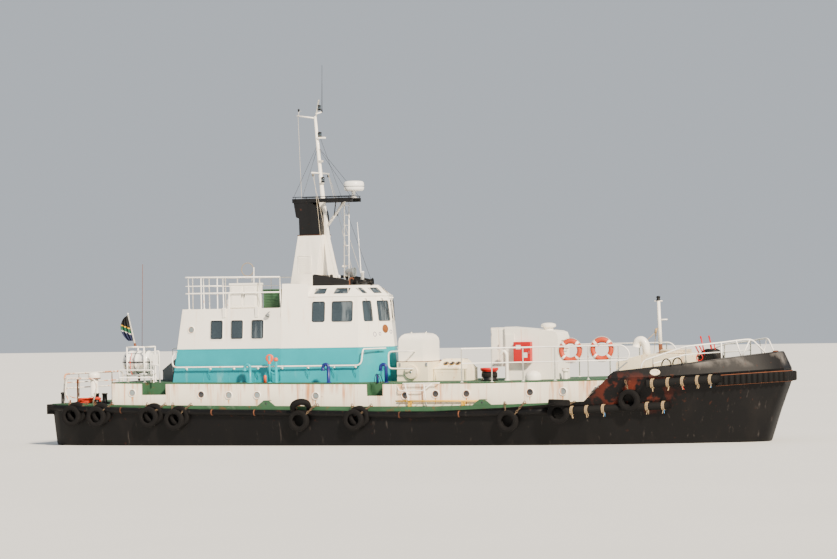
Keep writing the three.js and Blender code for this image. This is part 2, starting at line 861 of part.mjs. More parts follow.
// Door in the deckhouse's after wall, lying in the wall's own rake and hung on its outer edge
const doorThick = 45;
const doorGap = 5;
const hinge = { x: aftWallX(doorZ[0]) - 30, y: doorY + doorWide + 58, z: doorZ[0] };
const hingeHeights = [2450, 3600];
const hingeAt = (z) => [aftWallX(z) - 30, hinge.y, z];
const knuckleHalf = 45;
function doorHingeLugs() {
  return hingeHeights.flatMap((z) =>
    [-1, 1].map((end) => {
      const near = z + end * (knuckleHalf + 2 * seat);
      const far = z + end * (knuckleHalf + 40);
      const x = aftWallX(z);
      return join(
        rod(hingeAt(near), hingeAt(far), 22, 10),
        block(x - 25, x + 30, hinge.y - 9, hinge.y + 9, Math.min(near, far) + 6, Math.max(near, far) - 6),
      );
    }),
  );
}
function cabinDoor() {
  const [z0, z1] = [doorZ[0] - 20, doorZ[1] + 20];
  const face = (z, out) => aftWallX(z) - out;
  const leaf = sidePlate(
    [
      [face(z0, doorGap), z0],
      [face(z0, doorGap + doorThick), z0],
      [face(z1, doorGap + doorThick), z1],
      [face(z1, doorGap), z1],
    ],
    doorY - 30,
    doorY + doorWide + 30,
  );
  const knuckles = hingeHeights.map((z) => [
    rod(hingeAt(z - knuckleHalf), hingeAt(z + knuckleHalf), 22, 10),
    block(
      hingeAt(z)[0] - 12,
      hingeAt(z)[0] + 8,
      hinge.y - 60,
      hinge.y,
      z - knuckleHalf + 8,
      z + knuckleHalf - 8,
    ),
  ]);
  return join(leaf, knuckles);
}
add(houseGroup, "deckhouse", join(cabin(), doorHingeLugs()), "teal");
add(houseGroup, "deckhouse_door", cabinDoor(), "teal", [hinge.x, hinge.y, hinge.z]);

// Handrail round the deckhouse, one for each side and the front
function houseRail(side) {
  const off = 130;
  const z0 = 2510;
  const y = side * (wallY(z0) + off);
  const at = (x) => [x, side * (sideHalf(x, z0) + off), z0];
  const high = 3030;
  const route = rounded(
    [
      [-7800, side * (wallY(high) + off), high],
      [-7960, y, 2860],
      [-7940, y, z0],
      at(houseSplitX),
      at(-1470),
      [-1430, side * 1745, high - 60],
      [-1420, side * 1690, high],
      [-1170, side * 840, high],
      [-1090, side * 640, high],
    ],
    180,
  );
  const brackets = [-7500, -6650, -5800, -4950, -4100, -3250, -2400, -1700].map((x) =>
    pipe(
      [
        at(x),
        [x, side * (sideHalf(x, z0 - 60) + 0.6), z0 - 60],
      ],
      14,
      5,
    ),
  );
  const front = rod([-1175, side * 850, high], [-1400, side * 790, high - 20], 14, 5);
  return cut(join(pipe(route, railR, 5), brackets, front), wheelhouseSolid(-0.6), cabinShell(-0.6));
}

// Deck rail on the roof of the cabin
function upperRail() {
  const y = 1880;
  const z = upperDeckZ;
  const head = 5390;
  const aft = -7650;
  const forward = -4230;
  const bars = [head, 4900].map((h) => {
    const lift = h === head ? 40 : 0;
    return rounded(
      [
        [forward, -y, h],
        [aft, -y, h + lift],
        [aft, y, h + lift],
        [forward, y, h],
      ],
      160,
    );
  });
  const posts = [];
  for (const x of [-7500, -6960, -6260, -4950, -4230])
    for (const side of [-1, 1]) posts.push([x, side * y, z + seat, head + 15]);
  for (const at of [-1250, -620, 0, 620, 1250]) posts.push([aft, at, z + seat, head + 30]);
  return rail(bars, posts, 21);
}

// Locker at the side of the upper deck
function upperLocker(side) {
  const y = side * 1600;
  return join(
    block(-6040, -5080, y - 220, y + 220, upperDeckZ + seat, 5210),
    block(-5990, -5130, y - 240, y + 240, upperDeckZ + 60, 5150),
  );
}

for (const [name, side] of Object.entries(sides)) {
  add(houseGroup, "house_rail_" + name, houseRail(side), "white");
}
add(houseGroup, "upper_rail", upperRail(), "white");
add(houseGroup, "upper_locker", upperLocker(sides.starboard), "white");
add(
  houseGroup,
  "ventilator_box",
  block(-5000, -4300, -1500, -700, upperDeckZ + seat, 5000),
  "deckGreen",
);

// Funnel casing, its black top with the uptake swept aft, and the platform over it
const casingHalf = 430;
function funnelCasing() {
  return loft(
    [
      [casingTopZ + seat, -4510, -3610, casingHalf],
      [6740, -4235, -3400, casingHalf - 50],
    ].map(([z, x0, x1, half]) => [
      [x0, -half, z],
      [x1, -half, z],
      [x1, half, z],
      [x0, half, z],
    ]),
    [0, 1],
  );
}
function funnelTop() {
  const half = 365;
  const arc = new THREE.EllipseCurve(-3905, 7330, 470, 480, 0, Math.PI / 2).getPoints(5);
  const uptake = sidePlate(
    [
      [-4190, 6740 + seat],
      [-3430, 6740 + seat],
      ...arc.map((p) => [p.x, p.y]),
      [-4380, 7810],
      [-4300, 7330],
      [-4200, 7290],
    ],
    -half,
    half,
  );
  const platform = join(
    [-1, 1].map((side) => block(-4420, -2300, side * 300, side * 380, 7800, 7930)),
    block(-4420, -3500, -380, 380, 7895, 7930),
    block(-2980, -2300, -380, 380, 7895, 7930),
    block(-3300, -3200, -380, 380, 7895, 7930),
  );
  return join(uptake, platform);
}

// Mast: its raked leg, brace, gusset, pole, yard and the long aerial
function mast() {
  const leg = sidePlate(
    [
      [-3290, casingTopZ - 400],
      [-2930, casingTopZ - 400],
      [-3290, 6640],
      [-3440, 7890],
      [-3600, 7890],
      [-3450, 6640],
    ],
    -70,
    70,
  );
  const brace = rod([-3400, 0, 6960], [-2690, 0, 7860], 45, 8);
  const pole = rod([-3480, 0, 7800], [-3715, 0, 10620], 75, 10, 45);
  const yard = rod([-3700, 0, 10560], [-4370, 0, 10665], 28, 6);
  const spreader = rod([-3560, -700, 8760], [-3560, 700, 8760], 26, 6);
  const head = rod([-3700, 0, 10560], [-3570, 0, 11160], 26, 6);
  const aerial = rod([-3690, 0, 10700], [-3460, 0, 10760], 22, 6);
  const whip = rod([-3470, 0, 10740], [-3440, 0, 12290], 13, 6, 7);
  const lamps = [
    [-3490, 8550, 75],
    [-3560, 10020, 70],
    [-3560, 10900, 60],
  ].map(([x, z, r]) => rod([x, 0, z - 90], [x, 0, z + 90], r, 8));
  const shelf = block(-3620, -3380, -80, 80, 9890, 9940);
  const upper = join(leg, brace, pole, yard, spreader, head, aerial, whip, lamps, shelf);
  return cut(upper, roofCutter(), platformCutter());
}
function roofCutter() {
  return join(
    block(-4200, browStartX + 0.5, -2200, 2200, 1900, casingTopZ + seat),
    block(-4200, -1000, -2200, 2200, 1900, roofZ + seat),
  );
}
function platformCutter() {
  return join(
    block(-4421, -3499.5, -381, 381, 7894.5, 7930.5),
    block(-2980.5, -2299, -381, 381, 7894.5, 7930.5),
    block(-3300.5, -3199.5, -381, 381, 7894.5, 7930.5),
  );
}

// Ladder from the wheelhouse roof to the platform
function mastLadder() {
  const [y0, y1] = [210, 590];
  const foot = roofZ + seat;
  const head = 7790;
  const rails = [y0, y1].map((y) => rod([-2870, y, foot], [-2820, y, head], 18, 6));
  const rungs = [];
  for (let z = 5400; z < head - 90; z += 330) {
    const x = -2870 + ((z - foot) / (head - foot)) * 50;
    rungs.push(rod([x, y0, z], [x, y1, z], 12, 6));
  }
  return join(rails, rungs);
}

// Radar dome on its stalk at the platform's forward end
function radarDome() {
  return join(
    turned(
      [
        [0, 8150],
        [290, 8150],
        [330, 8210],
        [330, 8390],
        [300, 8450],
        [0, 8480],
      ],
      -2380,
      0,
      16,
    ),
    rod([-2400, 0, 7930 + seat], [-2400, 0, 8170], 60, 8),
  );
}

// Black coaming on the after part of the wheelhouse roof, with the horn, the aerials and the
// searchlight's stand carried by its foot bar
const lampSpot = { x: -2420, y: -300, z: 5300 };
function roofCoaming() {
  const [aftHalf, toe] = [1380, 0.288]; // half width at the after end, and how fast it draws in
  const low = roofZ + seat;
  const outline = [
    [-3290, low],
    [-2180, low],
    [-2180, 5200],
    [-2350, 5270],
    [-3220, 5430],
    [-3290, 5430],
  ];
  const face = (side, half) => outline.map(([x, z]) => [x, side * (half - (x + 3290) * toe), z]);
  const cheeks = Object.values(sides).map((side) => [
    loft([face(side, aftHalf - 30 - side * 30), face(side, aftHalf - 30 + side * 30)], [0, 2]),
    block(-3290, -3250, side * 120, side * (aftHalf - 20), 5330, 5430),
  ]);
  const [hornY, aerialY] = [-350, 600];
  const horn = [
    rod([-1900, hornY, 5200], [-1620, hornY, 5215], 40, 10, 100),
    rod([-2140, hornY, 5190], [-1880, hornY, 5200], 60, 8),
    rod([-2040, hornY, low], [-2040, hornY, 5190], 25, 6),
    block(-2440, -2020, hornY - 30, hornY + 30, low, low + 25),
  ];
  const aerials = [
    block(-2560, -2260, aerialY - 100, aerialY + 100, low, roofZ + 160),
    rod([-2425, aerialY, roofZ + 100], [-2540, aerialY, 7150], 14, 6, 7),
    rod([-2350, aerialY - 60, roofZ + 100], [-2350, aerialY - 60, 5500], 40, 8),
  ];
  const stand = rod([lampSpot.x, lampSpot.y, low], [lampSpot.x, lampSpot.y, lampSpot.z], 50, 8);
  const bar = block(-2450, -2390, -1100, 1100, low, low + 25);
  return join(cheeks, horn, aerials, stand, bar);
}
function searchlight() {
  const { x, y, z } = lampSpot;
  return join(
    rod([x, y, z + seat], [x, y, z + 40], 70, 8),
    rod([x, y, z + 20], [x, y, z + 110], 30, 8),
    rod([x - 130, y, z + 200], [x + 150, y, z + 215], 120, 12, 150),
    rod([x - 190, y, z + 197], [x - 120, y, z + 200], 60, 8, 120),
  );
}

const topGroup = section("top_group");
add(topGroup, "funnel_casing", cut(funnelCasing(), mastCutter()), "white");
add(topGroup, "funnel_top", cut(funnelTop(), mastCutter()), "black");
add(topGroup, "mast", mast(), "white");
add(topGroup, "mast_ladder", mastLadder(), "white");
add(topGroup, "radar_dome", radarDome(), "white");
add(topGroup, "roof_coaming", roofCoaming(), "black");
add(topGroup, "searchlight", searchlight(), "grey", [lampSpot.x, lampSpot.y, lampSpot.z]);

function mastCutter() {
  return join(
    rod([-3471, 0, 7700], [-3530, 0, 8400], 76, 10, 73),
    rod([-3401, 0, 6900], [-2651, 0, 7908], 46, 8),
    sidePlate(
      [
        [-3289, 5100],
        [-2700, 5100],
        [-3280, 6640],
        [-3430, 7900],
        [-3610, 7900],
        [-3461, 6640],
      ],
      -71,
      71,
    ),
  );
}

// Dome-topped locker ahead of the wheelhouse, on its rusty base, and the engine skylight
const lockerX = [-610, 220];
const lockerHalf = 730;
const baseX = [-610, 470];
const baseHalf = 900;
const baseTopZ = 2600;
function roundedTop(from, to, low, high, radius) {
  const arc = (cx, start) =>
    new THREE.EllipseCurve(cx, high - radius, radius, radius, start, start + Math.PI / 2).getPoints(4);
  const corners = [...arc(to - radius, 0), ...arc(from + radius, Math.PI / 2)];
  return [[from, low], [to, low], ...corners.map((p) => [p.x, p.y])];
}
function domeLocker() {
  const [low, high] = [baseTopZ + seat, 3500];
  const fore = sidePlate(roundedTop(...lockerX, low, high, 260), -lockerHalf, lockerHalf);
  const across = roundedTop(-lockerHalf, lockerHalf, low, high, 260);
  const shape = new THREE.Shape(across.map(([y, z]) => new THREE.Vector2(y, z)));
  const length = lockerX[1] - lockerX[0];
  const drawn = new THREE.ExtrudeGeometry(shape, { depth: length, bevelEnabled: false });
  const beam = solid(drawn.rotateX(Math.PI / 2).rotateZ(Math.PI / 2).translate(lockerX[0], 0, 0));
  const knobs = [-450, 60].map((x) => rod([x, 0, 3480], [x, 0, 3530], 30, 8));
  return join(fore.intersect(beam), knobs);
}
function lockerBase() {
  const reel = rod([-100, -baseHalf + 10, 2260], [-100, -baseHalf - 70, 2260], 240, 16);
  return join(seated(block(...baseX, -baseHalf, baseHalf, 1900, baseTopZ)), reel);
}
const skylightX = [490, 1640];
const skylightHalf = 470;
const skylightEaveZ = 2350;
const skylightRidgeZ = 2640;
const skylightRidgeHalf = 60; // the flat along the top, where the lids hinge
const lidThick = 40;
function skylight() {
  const [x0, x1] = skylightX;
  const ring = (inX, half, z) => [
    [x0 + inX, -half, z],
    [x1 - inX, -half, z],
    [x1 - inX, half, z],
    [x0 + inX, half, z],
  ];
  return seated(
    loft(
      [
        ring(0, skylightHalf, 1900),
        ring(0, skylightHalf, skylightEaveZ),
        ring(150, skylightRidgeHalf, skylightRidgeZ),
      ],
      [0, 1],
    ),
  );
}
function skylightLid(side) {
  const [x0, x1] = [skylightX[0] + 260, skylightX[1] - 260];
  const run = skylightHalf - skylightRidgeHalf;
  const fall = (skylightRidgeZ - skylightEaveZ) / run;
  const inner = skylightRidgeHalf + 20;
  const face = (y, lift) => skylightRidgeZ - (y - skylightRidgeHalf) * fall + lift;
  const outline = [
    [inner, face(inner, 1)],
    [skylightHalf + 20, face(skylightHalf + 20, 1)],
    [skylightHalf + 20, face(skylightHalf + 20, lidThick)],
    [inner, face(inner, lidThick)],
  ];
  return loft(
    [x0, x1].map((x) => outline.map(([y, z]) => [x, side * y, z])),
    [1, 2],
  );
}
const lidHinge = (side) => [
  (skylightX[0] + skylightX[1]) / 2,
  side * (skylightRidgeHalf + 20),
  skylightRidgeZ + 14,
];

// Mooring drum ahead of the skylight
function mooringDrum() {
  const [x, y] = [2600, -1000];
  const foot = trunkZ(x) + 2;
  return seated(
    turned(
      [
        [0, foot - 60],
        [270, foot - 60],
        [270, foot + 40],
        [235, foot + 80],
        [235, 2270],
        [290, 2300],
        [290, 2370],
        [0, 2380],
      ],
      x,
      y,
      14,
    ),
  );
}

// Companionway down to the fore cabin, with its locker, vent and side door
const companionX = [2970, 4760];
const companionHalf = 540;
const companionWall = 45;
const companionDoorX = [3250, 3950];
const companionDoorZ = [2140, 3330];
function companionOutline(inset) {
  const [x0, x1] = [companionX[0] + inset, companionX[1] - inset];
  const low = inset ? 1500 : 1900;
  return [
    [x0, low],
    [x1, low],
    [x1, 3320 - inset],
    [x1 - 50, 3460 - inset],
    [x1 - 180, 3515 - inset],
    [x0, 3660 - inset],
  ];
}
function companionway() {
  const inside = companionHalf - companionWall;
  const shell = cut(
    sidePlate(companionOutline(0), -companionHalf, companionHalf),
    sidePlate(companionOutline(companionWall), -inside, inside),
    block(...companionDoorX, inside - 100, companionHalf + 100, ...companionDoorZ),
  );
  const locker = block(companionX[0] - 500, companionX[0] + 20, -450, 250, 2400, 3640);
  const vent = turned(
    [
      [0, 3480],
      [150, 3480],
      [150, 3640],
      [235, 3650],
      [235, 3720],
      [120, 3765],
      [0, 3770],
    ],
    4280,
    -60,
    14,
  );
  const hollow = sidePlate(companionOutline(companionWall), -400, 400);
  return seated(join(shell, companionHingeLugs(), locker, cut(vent, hollow)));
}
const companionHinge = [companionDoorX[1] + 50, companionHalf + 26, companionDoorZ[0]];
const companionHingeHeights = [2400, 3080];
function companionDoor() {
  const [x0, x1] = companionDoorX;
  const [z0, z1] = companionDoorZ;
  const [x, y] = companionHinge;
  const near = companionHalf + doorGap;
  const leaf = block(x0 - 30, x1 + 25, near, near + 40, z0 - 20, z1 + 20);
  const knuckles = companionHingeHeights.map((z) => [
    rod([x, y, z - knuckleHalf], [x, y, z + knuckleHalf], 20, 10),
    block(x - 35, x, y - 8, y + 8, z - knuckleHalf + 8, z + knuckleHalf - 8),
  ]);
  return join(leaf, knuckles);
}
function companionHingeLugs() {
  const [x, y] = companionHinge;
  return companionHingeHeights.flatMap((z) =>
    [-1, 1].map((end) => {
      const [near, far] = [knuckleHalf + 2 * seat, knuckleHalf + 40].map((reach) => z + end * reach);
      const [low, high] = [Math.min(near, far) + 2, Math.max(near, far) - 2];
      const foot = block(x - 9, x + 9, companionHalf - 30, y, low, high);
      return join(rod([x, y, near], [x, y, far], 20, 10), foot);
    }),
  );
}
function hoseCabinet() {
  return block(3330, 3900, -companionHalf - seat, -companionHalf - 210, 2520, 3180);
}

// Rails along the fore part of the trunk deck
const foreRailY = 2640;
const foreRailToe = 0.12; // how far the rails turn in, from x 5500 on
const foreRailHalf = (x) => foreRailY - Math.max(0, x - 5500) * foreRailToe;
function foreRail(side, grow = 0) {
  const inboard = (x) => side * foreRailHalf(x);
  const high = (x) => 3010 + (x - 2300) * 0.01;
  const xs = [2300, 3310, 4350, 5400, 6450, 7400];
  const top = rounded(
    [
      [2300, inboard(2300), high(2300)],
      [5500, inboard(5500), high(5500)],
      [7560, inboard(7560), high(7560)],
      [7760, inboard(7760), 2830],
      [7700, inboard(7700), 2600],
      [7400, inboard(7400), 2590],
    ],
    140,
  );
  const middle = [2300, 5500, 7420].map((x) => [x, inboard(x), high(x) - 460]);
  const posts = xs.map((x) => [x, inboard(x), 1900, high(x) + 5]);
  return rail([top, middle], posts, railR, grow);
}
const buoySpots = [
  [5870, 2915],
  [6860, 2945],
];
function lifebuoy([x, z]) {
  const ring = new THREE.TorusGeometry(292, 82, 6, 16);
  const turnedIn = ring.rotateX(Math.PI / 2).rotateZ(Math.atan(foreRailToe));
  return cut(solid(turnedIn.translate(x, 94 - foreRailHalf(x), z)), foreRail(sides.starboard, 0.6));
}
// Boarding ladder stowed on the starboard side deck
function boardingLadder() {
  const z = 1400;
  const ys = [-2905, -3095];
  const [x0, x1] = [230, 2930];
  const rails = ys.map((y) => rod([x0, y, z], [x1, y, z - 10], 22, 6));
  const rungs = [];
  for (let x = x0 + 150; x < x1; x += 300) rungs.push(rod([x, ys[0], z], [x, ys[1], z], 14, 6));
  const feet = [x0 + 450, x1 - 450].map((x) => block(x - 30, x + 30, ys[1], ys[0], 1200, z));
  return cut(join(rails, rungs, feet), underMain);
}

// Rails of the bow, standing inside the bulwark and turned down at the stem
function bowRail(side) {
  const at = (x, y, z) => [x, side * y, z];
  const top = rounded(
    [
      at(8090, 2500, 2340),
      at(8200, 2480, 2570),
      at(9450, 2030, 2990),
      at(10450, 1560, 3090),
      at(11020, 1090, 3165),
      at(11230, 880, 3170),
      at(11560, 430, 2700),
      at(11590, 400, 2500),
    ],
    120,
    2,
  );
  const middle = [at(8500, 2360, 2480), at(9450, 2030, 2740), at(10450, 1560, 2800)];
  const foot = (x) => deckZ(x) - 40;
  const bars = [top.map((p, i) => (i === 0 ? [p[0], p[1], foot(p[0])] : p)), middle];
  bars[0][bars[0].length - 1][2] = foot(11590);
  const posts = [
    [9450, 2030, foot(9450), 2990],
    [10450, 1560, foot(10450), 3090],
    [8500, 2360, foot(8500), 2660],
  ].map(([x, y, low, high]) => [x, side * y, low, high]);
  const braces = [
    rod(at(10960, 1130, foot(10960)), at(10960, 1130, 2640), postR, 6),
    rod(at(10960, 1130, 2620), at(10830, 1250, 3140), postR, 6),
    rod(at(10960, 1130, 2620), at(11180, 930, 3165), postR, 6),
  ];
  return cut(join(rail(bars, posts), braces), underMain);
}

// Foremast on the fore house, with its lantern
function foremast() {
  const x = 7950;
  const pieces = join(
    rod([x + 40, 0, 2700], [x - 10, 0, 4440], 62, 8, 48),
    rod([x + 40, 0, 2700], [x + 38, 0, 2800], 150, 8),
    rod([x - 12, 0, 4420], [x - 14, 0, 4560], 75, 8),
    rod([x - 130, 0, 4400], [x + 120, 0, 4400], 16, 6),
    rod([x, 0, 3810], [x + 270, 0, 3815], 22, 6),
  );
  return cut(pieces, block(7000, 9000, -500, 500, 2600, 2760 + seat));
}

// Anchor windlass: two cheeks on a bed, and the drum between them
const windlassX = 9640;
const windlassZ = 2590;
const cheekY = 400;
function windlassFrame() {
  const cheeks = Object.values(sides).map((side) =>
    sidePlate(
      [
        [9330, 2000],
        [9950, 2000],
        [9950, 2250],
        [9760, 2780],
        [9520, 2780],
        [9330, 2250],
      ],
      side * cheekY,
      side * (cheekY + 50),
    ),
  );
  const bed = block(9330, 9950, -cheekY - 20, cheekY + 20, 2000, 2180);
  const levers = [-440, 430].map((y) => rod([9560, y, 2700], [9440, y, 3290], 16, 6));
  return cut(join(cheeks, bed, levers), underMain);
}
function windlassDrum() {
  const run = (y0, y1, r, facets) =>
    rod([windlassX, y0, windlassZ], [windlassX, y1, windlassZ], r, facets);
  const clear = cheekY - seat;
  const flanges = [-1, 1].map((s) => run(s * 300, s * 335, 300, 16));
  return join(run(-clear, clear, 45, 10), run(-330, 330, 190, 12), flanges);
}

const foreGroup = section("fore_group");
add(foreGroup, "dome_locker", domeLocker(), "white");
add(foreGroup, "locker_base", lockerBase(), "cream");
add(foreGroup, "skylight", skylight(), "cream");
for (const [name, side] of Object.entries(sides))
  add(foreGroup, "skylight_lid_" + name, skylightLid(side), "cream", lidHinge(side));
add(foreGroup, "mooring_drum", mooringDrum(), "black");
add(foreGroup, "companionway", companionway(), "cream");
add(foreGroup, "companionway_door", companionDoor(), "cream", companionHinge);
add(foreGroup, "hose_cabinet", hoseCabinet(), "red");
for (const [name, side] of Object.entries(sides)) {
  add(foreGroup, "fore_rail_" + name, seated(foreRail(side)), "white");
  add(foreGroup, "bow_rail_" + name, bowRail(side), "white");
}
buoySpots.forEach((spot, i) => add(foreGroup, "lifebuoy_" + (i + 1), lifebuoy(spot), "orange"));
add(foreGroup, "boarding_ladder", boardingLadder(), "yellow");
add(foreGroup, "foremast", foremast(), "white");
add(foreGroup, "windlass", windlassFrame(), "black");
add(foreGroup, "windlass_drum", windlassDrum(), "black", [windlassX, 0, windlassZ]);

// Liferaft in its cradle on the after end of the trunk, with the ensign staff on the cradle
const raftY = -2080;
function liferaft() {
  const z = 2700;
  const body = rod([-9700, raftY, z], [-8760, raftY, z], 375, 14);
  const belt = rod([-9280, raftY, z], [-9180, raftY, z], 382, 14);
  return join(body, belt);
}
function raftCradle() {
  const ys = [raftY - 400, raftY + 400];
  const xs = [-9470, -8850];
  const frames = xs.flatMap((x) => [
    ...ys.map((y) => rod([x, y, 1950], [x, y, 3190], 26, 5)),
    rod([x, ys[0], 3190], [x, ys[1], 3190], 24, 5),
    rod([x, ys[0], 2306], [x, ys[1], 2306], 26, 5),
  ]);
  const along = ys.flatMap((y) => [2270, 3190].map((z) => rod([xs[0], y, z], [xs[1], y, z], 22, 5)));
  const staff = rod([-9560, ys[1], 3190], [-9818, ys[1], 4270], 24, 6, 14);
  const staffFoot = rod([-9470, ys[1], 3190], [-9580, ys[1], 3190], 22, 6);
  const rackY = raftY - 560;
  const rack = rounded(
    [
      [-9690, rackY, 1990],
      [-9690, rackY, 2450],
      [-8440, rackY, 2440],
      [-8440, rackY, 1990],
    ],
    60,
    2,
  );
  const ties = xs.map((x) => rod([x, ys[0], 2270], [x, rackY, 2440], 18, 6));
  const raft = rod([-9700 - seat, raftY, 2700], [-8760 + seat, raftY, 2700], 375 + 2 * seat, 14);
  return seated(cut(join(frames, along, staff, staffFoot, pipe(rack, 20, 5), ties), raft));
}
// Ensign hanging in folds below the staff's head
function ensign() {
  const y = raftY + 400;
  const fold = (x, z, wide) => [
    [x, y - 70, z],
    [x + wide, y - 55, z],
    [x + wide, y + 55, z],
    [x, y + 70, z],
  ];
  const folds = loft([fold(-9750, 3270, 90), fold(-9790, 3700, 130), fold(-9850, 4180, 60)], [0, 1]);
  return cut(folds, rod([-9560, y, 3190], [-9818, y, 4271], 24 + 0.4, 6, 14 + 0.4));
}
function aftHatch() {
  return seated(
    sidePlate(
      [
        [-9250, 1900],
        [-8350, 1900],
        [-8350, 2780],
        [-8650, 2830],
        [-9250, 2380],
      ],
      -350,
      850,
    ),
  );
}

// Stern rail across the counter and the guard hoop over the starboard bitts
function sternRail() {
  const x = -11980;
  const half = 2100;
  const top = rounded(
    [
      [x, -half - 60, 1300],
      [x, -half, 2330],
      [x, half, 2330],
      [x, half + 60, 1300],
    ],
    180,
  );
  const middles = [2040, 1860].map((z) => [
    [x, -half - 20, z],
    [x, half + 20, z],
  ]);
  const posts = [-1100, 100, 1300].map((y) => [x, y, 1300, 2330]);
  const hoopY = -2260;
  const hoop = rounded(
    [
      [-11700, hoopY, 1300],
      [-11880, hoopY, 1700],
      [-11830, hoopY, 2190],
      [-10820, hoopY, 2170],
      [-10700, hoopY, 1950],
      [-10860, hoopY, 1300],
    ],
    140,
  );
  const extra = rod([-11420, hoopY, 1300], [-11420, hoopY, 2185], postR, 6);
  const link = rod([x, -half, 2200], [-11800, hoopY, 2188], 20, 6);
  return cut(join(rail([top, ...middles, hoop], posts), extra, link), underMain);
}

// Towing bitts, and the after deck's ventilator
function towingBitts() {
  const posts = [-420, 420].map((y) => rod([-10820, y, 1250], [-10820, y, 1980], 110, 12));
  const bar = rod([-10820, -620, 1780], [-10820, 620, 1780], 65, 10);
  return cut(join(posts, bar), underMain);
}
function sternVent() {
  const [x, y] = [-11560, -800];
  return cut(
    join(
      rod([x, y, 1250], [x, y, 2180], 130, 12),
      turned(
        [
          [0, 2120],
          [210, 2140],
          [210, 2260],
          [120, 2350],
          [0, 2370],
        ],
        x,
        y,
        14,
      ),
    ),
    underMain,
  );
}
function quarterBitts(side) {
  const y = side * 2000;
  const posts = [-10560, -10860].map((x) => rod([x, y, 1250], [x, y, 1690], 85, 10));
  return cut(join(posts, block(-10980, -10440, y - 110, y + 110, 1300, 1400)), underMain);
}

const sternGroup = section("stern_group");
add(sternGroup, "liferaft", liferaft(), "white");
add(sternGroup, "raft_cradle", raftCradle(), "white");
add(sternGroup, "ensign", ensign(), "cloth");
add(sternGroup, "aft_hatch", aftHatch(), "grey");
add(sternGroup, "stern_rail", sternRail(), "white");
add(sternGroup, "towing_bitts", towingBitts(), "black");
add(sternGroup, "stern_vent", sternVent(), "white");
add(sternGroup, "quarter_bitts", quarterBitts(sides.starboard), "black");

// Screws and rudders, hung under the counter
const bladeR = 520;
function propeller(side) {
  const y = side * shaftY;
  const blades = [0, 1, 2, 3].map((n) => {
    const blade = new THREE.BoxGeometry(26, 290, bladeR - 60);
    blade.translate(0, 0, (bladeR + 60) / 2).rotateZ(side * 0.62);
    blade.rotateX((n * Math.PI) / 2);
    return solid(blade.translate(propX, y, shaftZ));
  });
  const hub = [
    rod([propX - 130, y, shaftZ], [propX + 130, y, shaftZ], 85, 12, 95),
    rod([propX - 210, y, shaftZ], [propX - 129, y, shaftZ], 30, 12, 85),
  ];
  return join(blades, hub);
}
function rudder(side) {
  const y = side * shaftY;
  const blade = floorPlate(
    [
      [rudderX + 230, y - 25],
      [rudderX + 260, y],
      [rudderX + 230, y + 25],
      [rudderX - 60, y + 55],
      [rudderX - 560, y + 8],
      [rudderX - 560, y - 8],
      [rudderX - 60, y - 55],
    ],
    -1980,
    -980,
  );
  return join(blade, rod([rudderX, y, -1000], [rudderX, y, bossZ - seat], 60, 12));
}
const gearGroup = section("underwater_gear");
for (const [name, side] of Object.entries(sides)) {
  add(gearGroup, "propeller_" + name, propeller(side), "bronze", [propX, side * shaftY, shaftZ]);
  add(gearGroup, "rudder_" + name, rudder(side), "hullBlack", [rudderX, side * shaftY, bossZ]);
}

export default tug;
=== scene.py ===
import json
import random
from math import atan, cos, pi, radians, sin

import bmesh
import bpy
from mathutils import Matrix, Vector

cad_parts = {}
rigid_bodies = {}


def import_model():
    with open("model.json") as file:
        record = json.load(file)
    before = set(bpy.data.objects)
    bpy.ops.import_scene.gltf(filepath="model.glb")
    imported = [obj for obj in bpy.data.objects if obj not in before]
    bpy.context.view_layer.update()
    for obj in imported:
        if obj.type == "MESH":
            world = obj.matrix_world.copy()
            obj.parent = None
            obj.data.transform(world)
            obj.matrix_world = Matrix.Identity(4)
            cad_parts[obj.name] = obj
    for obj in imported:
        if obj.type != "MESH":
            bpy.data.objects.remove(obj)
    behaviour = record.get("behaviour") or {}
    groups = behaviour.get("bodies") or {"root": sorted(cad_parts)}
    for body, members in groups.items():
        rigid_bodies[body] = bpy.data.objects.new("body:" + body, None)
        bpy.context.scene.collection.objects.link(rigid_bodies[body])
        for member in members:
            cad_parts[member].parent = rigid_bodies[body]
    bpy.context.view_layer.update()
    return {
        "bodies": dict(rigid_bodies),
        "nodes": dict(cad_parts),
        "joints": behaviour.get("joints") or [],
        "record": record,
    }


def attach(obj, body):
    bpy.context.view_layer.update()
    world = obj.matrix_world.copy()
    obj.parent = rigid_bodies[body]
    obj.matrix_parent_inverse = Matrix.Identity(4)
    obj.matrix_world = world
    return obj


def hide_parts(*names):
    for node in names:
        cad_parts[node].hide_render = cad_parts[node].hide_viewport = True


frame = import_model()
nodes = frame["nodes"]
rng = random.Random(7)


def vec(*place):
    return Vector(place)


def linked(name, data):
    made = bpy.data.objects.new(name, data)
    bpy.context.scene.collection.objects.link(made)
    return made


# Camera
cameraValues = {
    "place": (41.21, -101.99, 4.4), "yaw": 22.0, "roll": -1.0, "lens": 146.7, "shift": (-0.00657, 0.0305)
}
cameraData = bpy.data.cameras.new("camera")
camera = linked("camera", cameraData)
turn = Matrix.Rotation(radians(cameraValues["yaw"]), 4, "Z") @ Matrix.Rotation(radians(90), 4, "X")
turn = turn @ Matrix.Rotation(radians(cameraValues["roll"]), 4, "Z")
camera.matrix_world = Matrix.Translation(cameraValues["place"]) @ turn
cameraData.lens = cameraValues["lens"]
cameraData.shift_x, cameraData.shift_y = cameraValues["shift"]
cameraData.clip_start, cameraData.clip_end = 1, 600
bpy.context.scene.camera = camera
print("camera placed")


# Materials
def linear(tone):
    channels = [int(tone[i : i + 2], 16) / 255 for i in (1, 3, 5)]
    return tuple(c / 12.92 if c <= 0.04045 else ((c + 0.055) / 1.055) ** 2.4 for c in channels) + (1.0,)


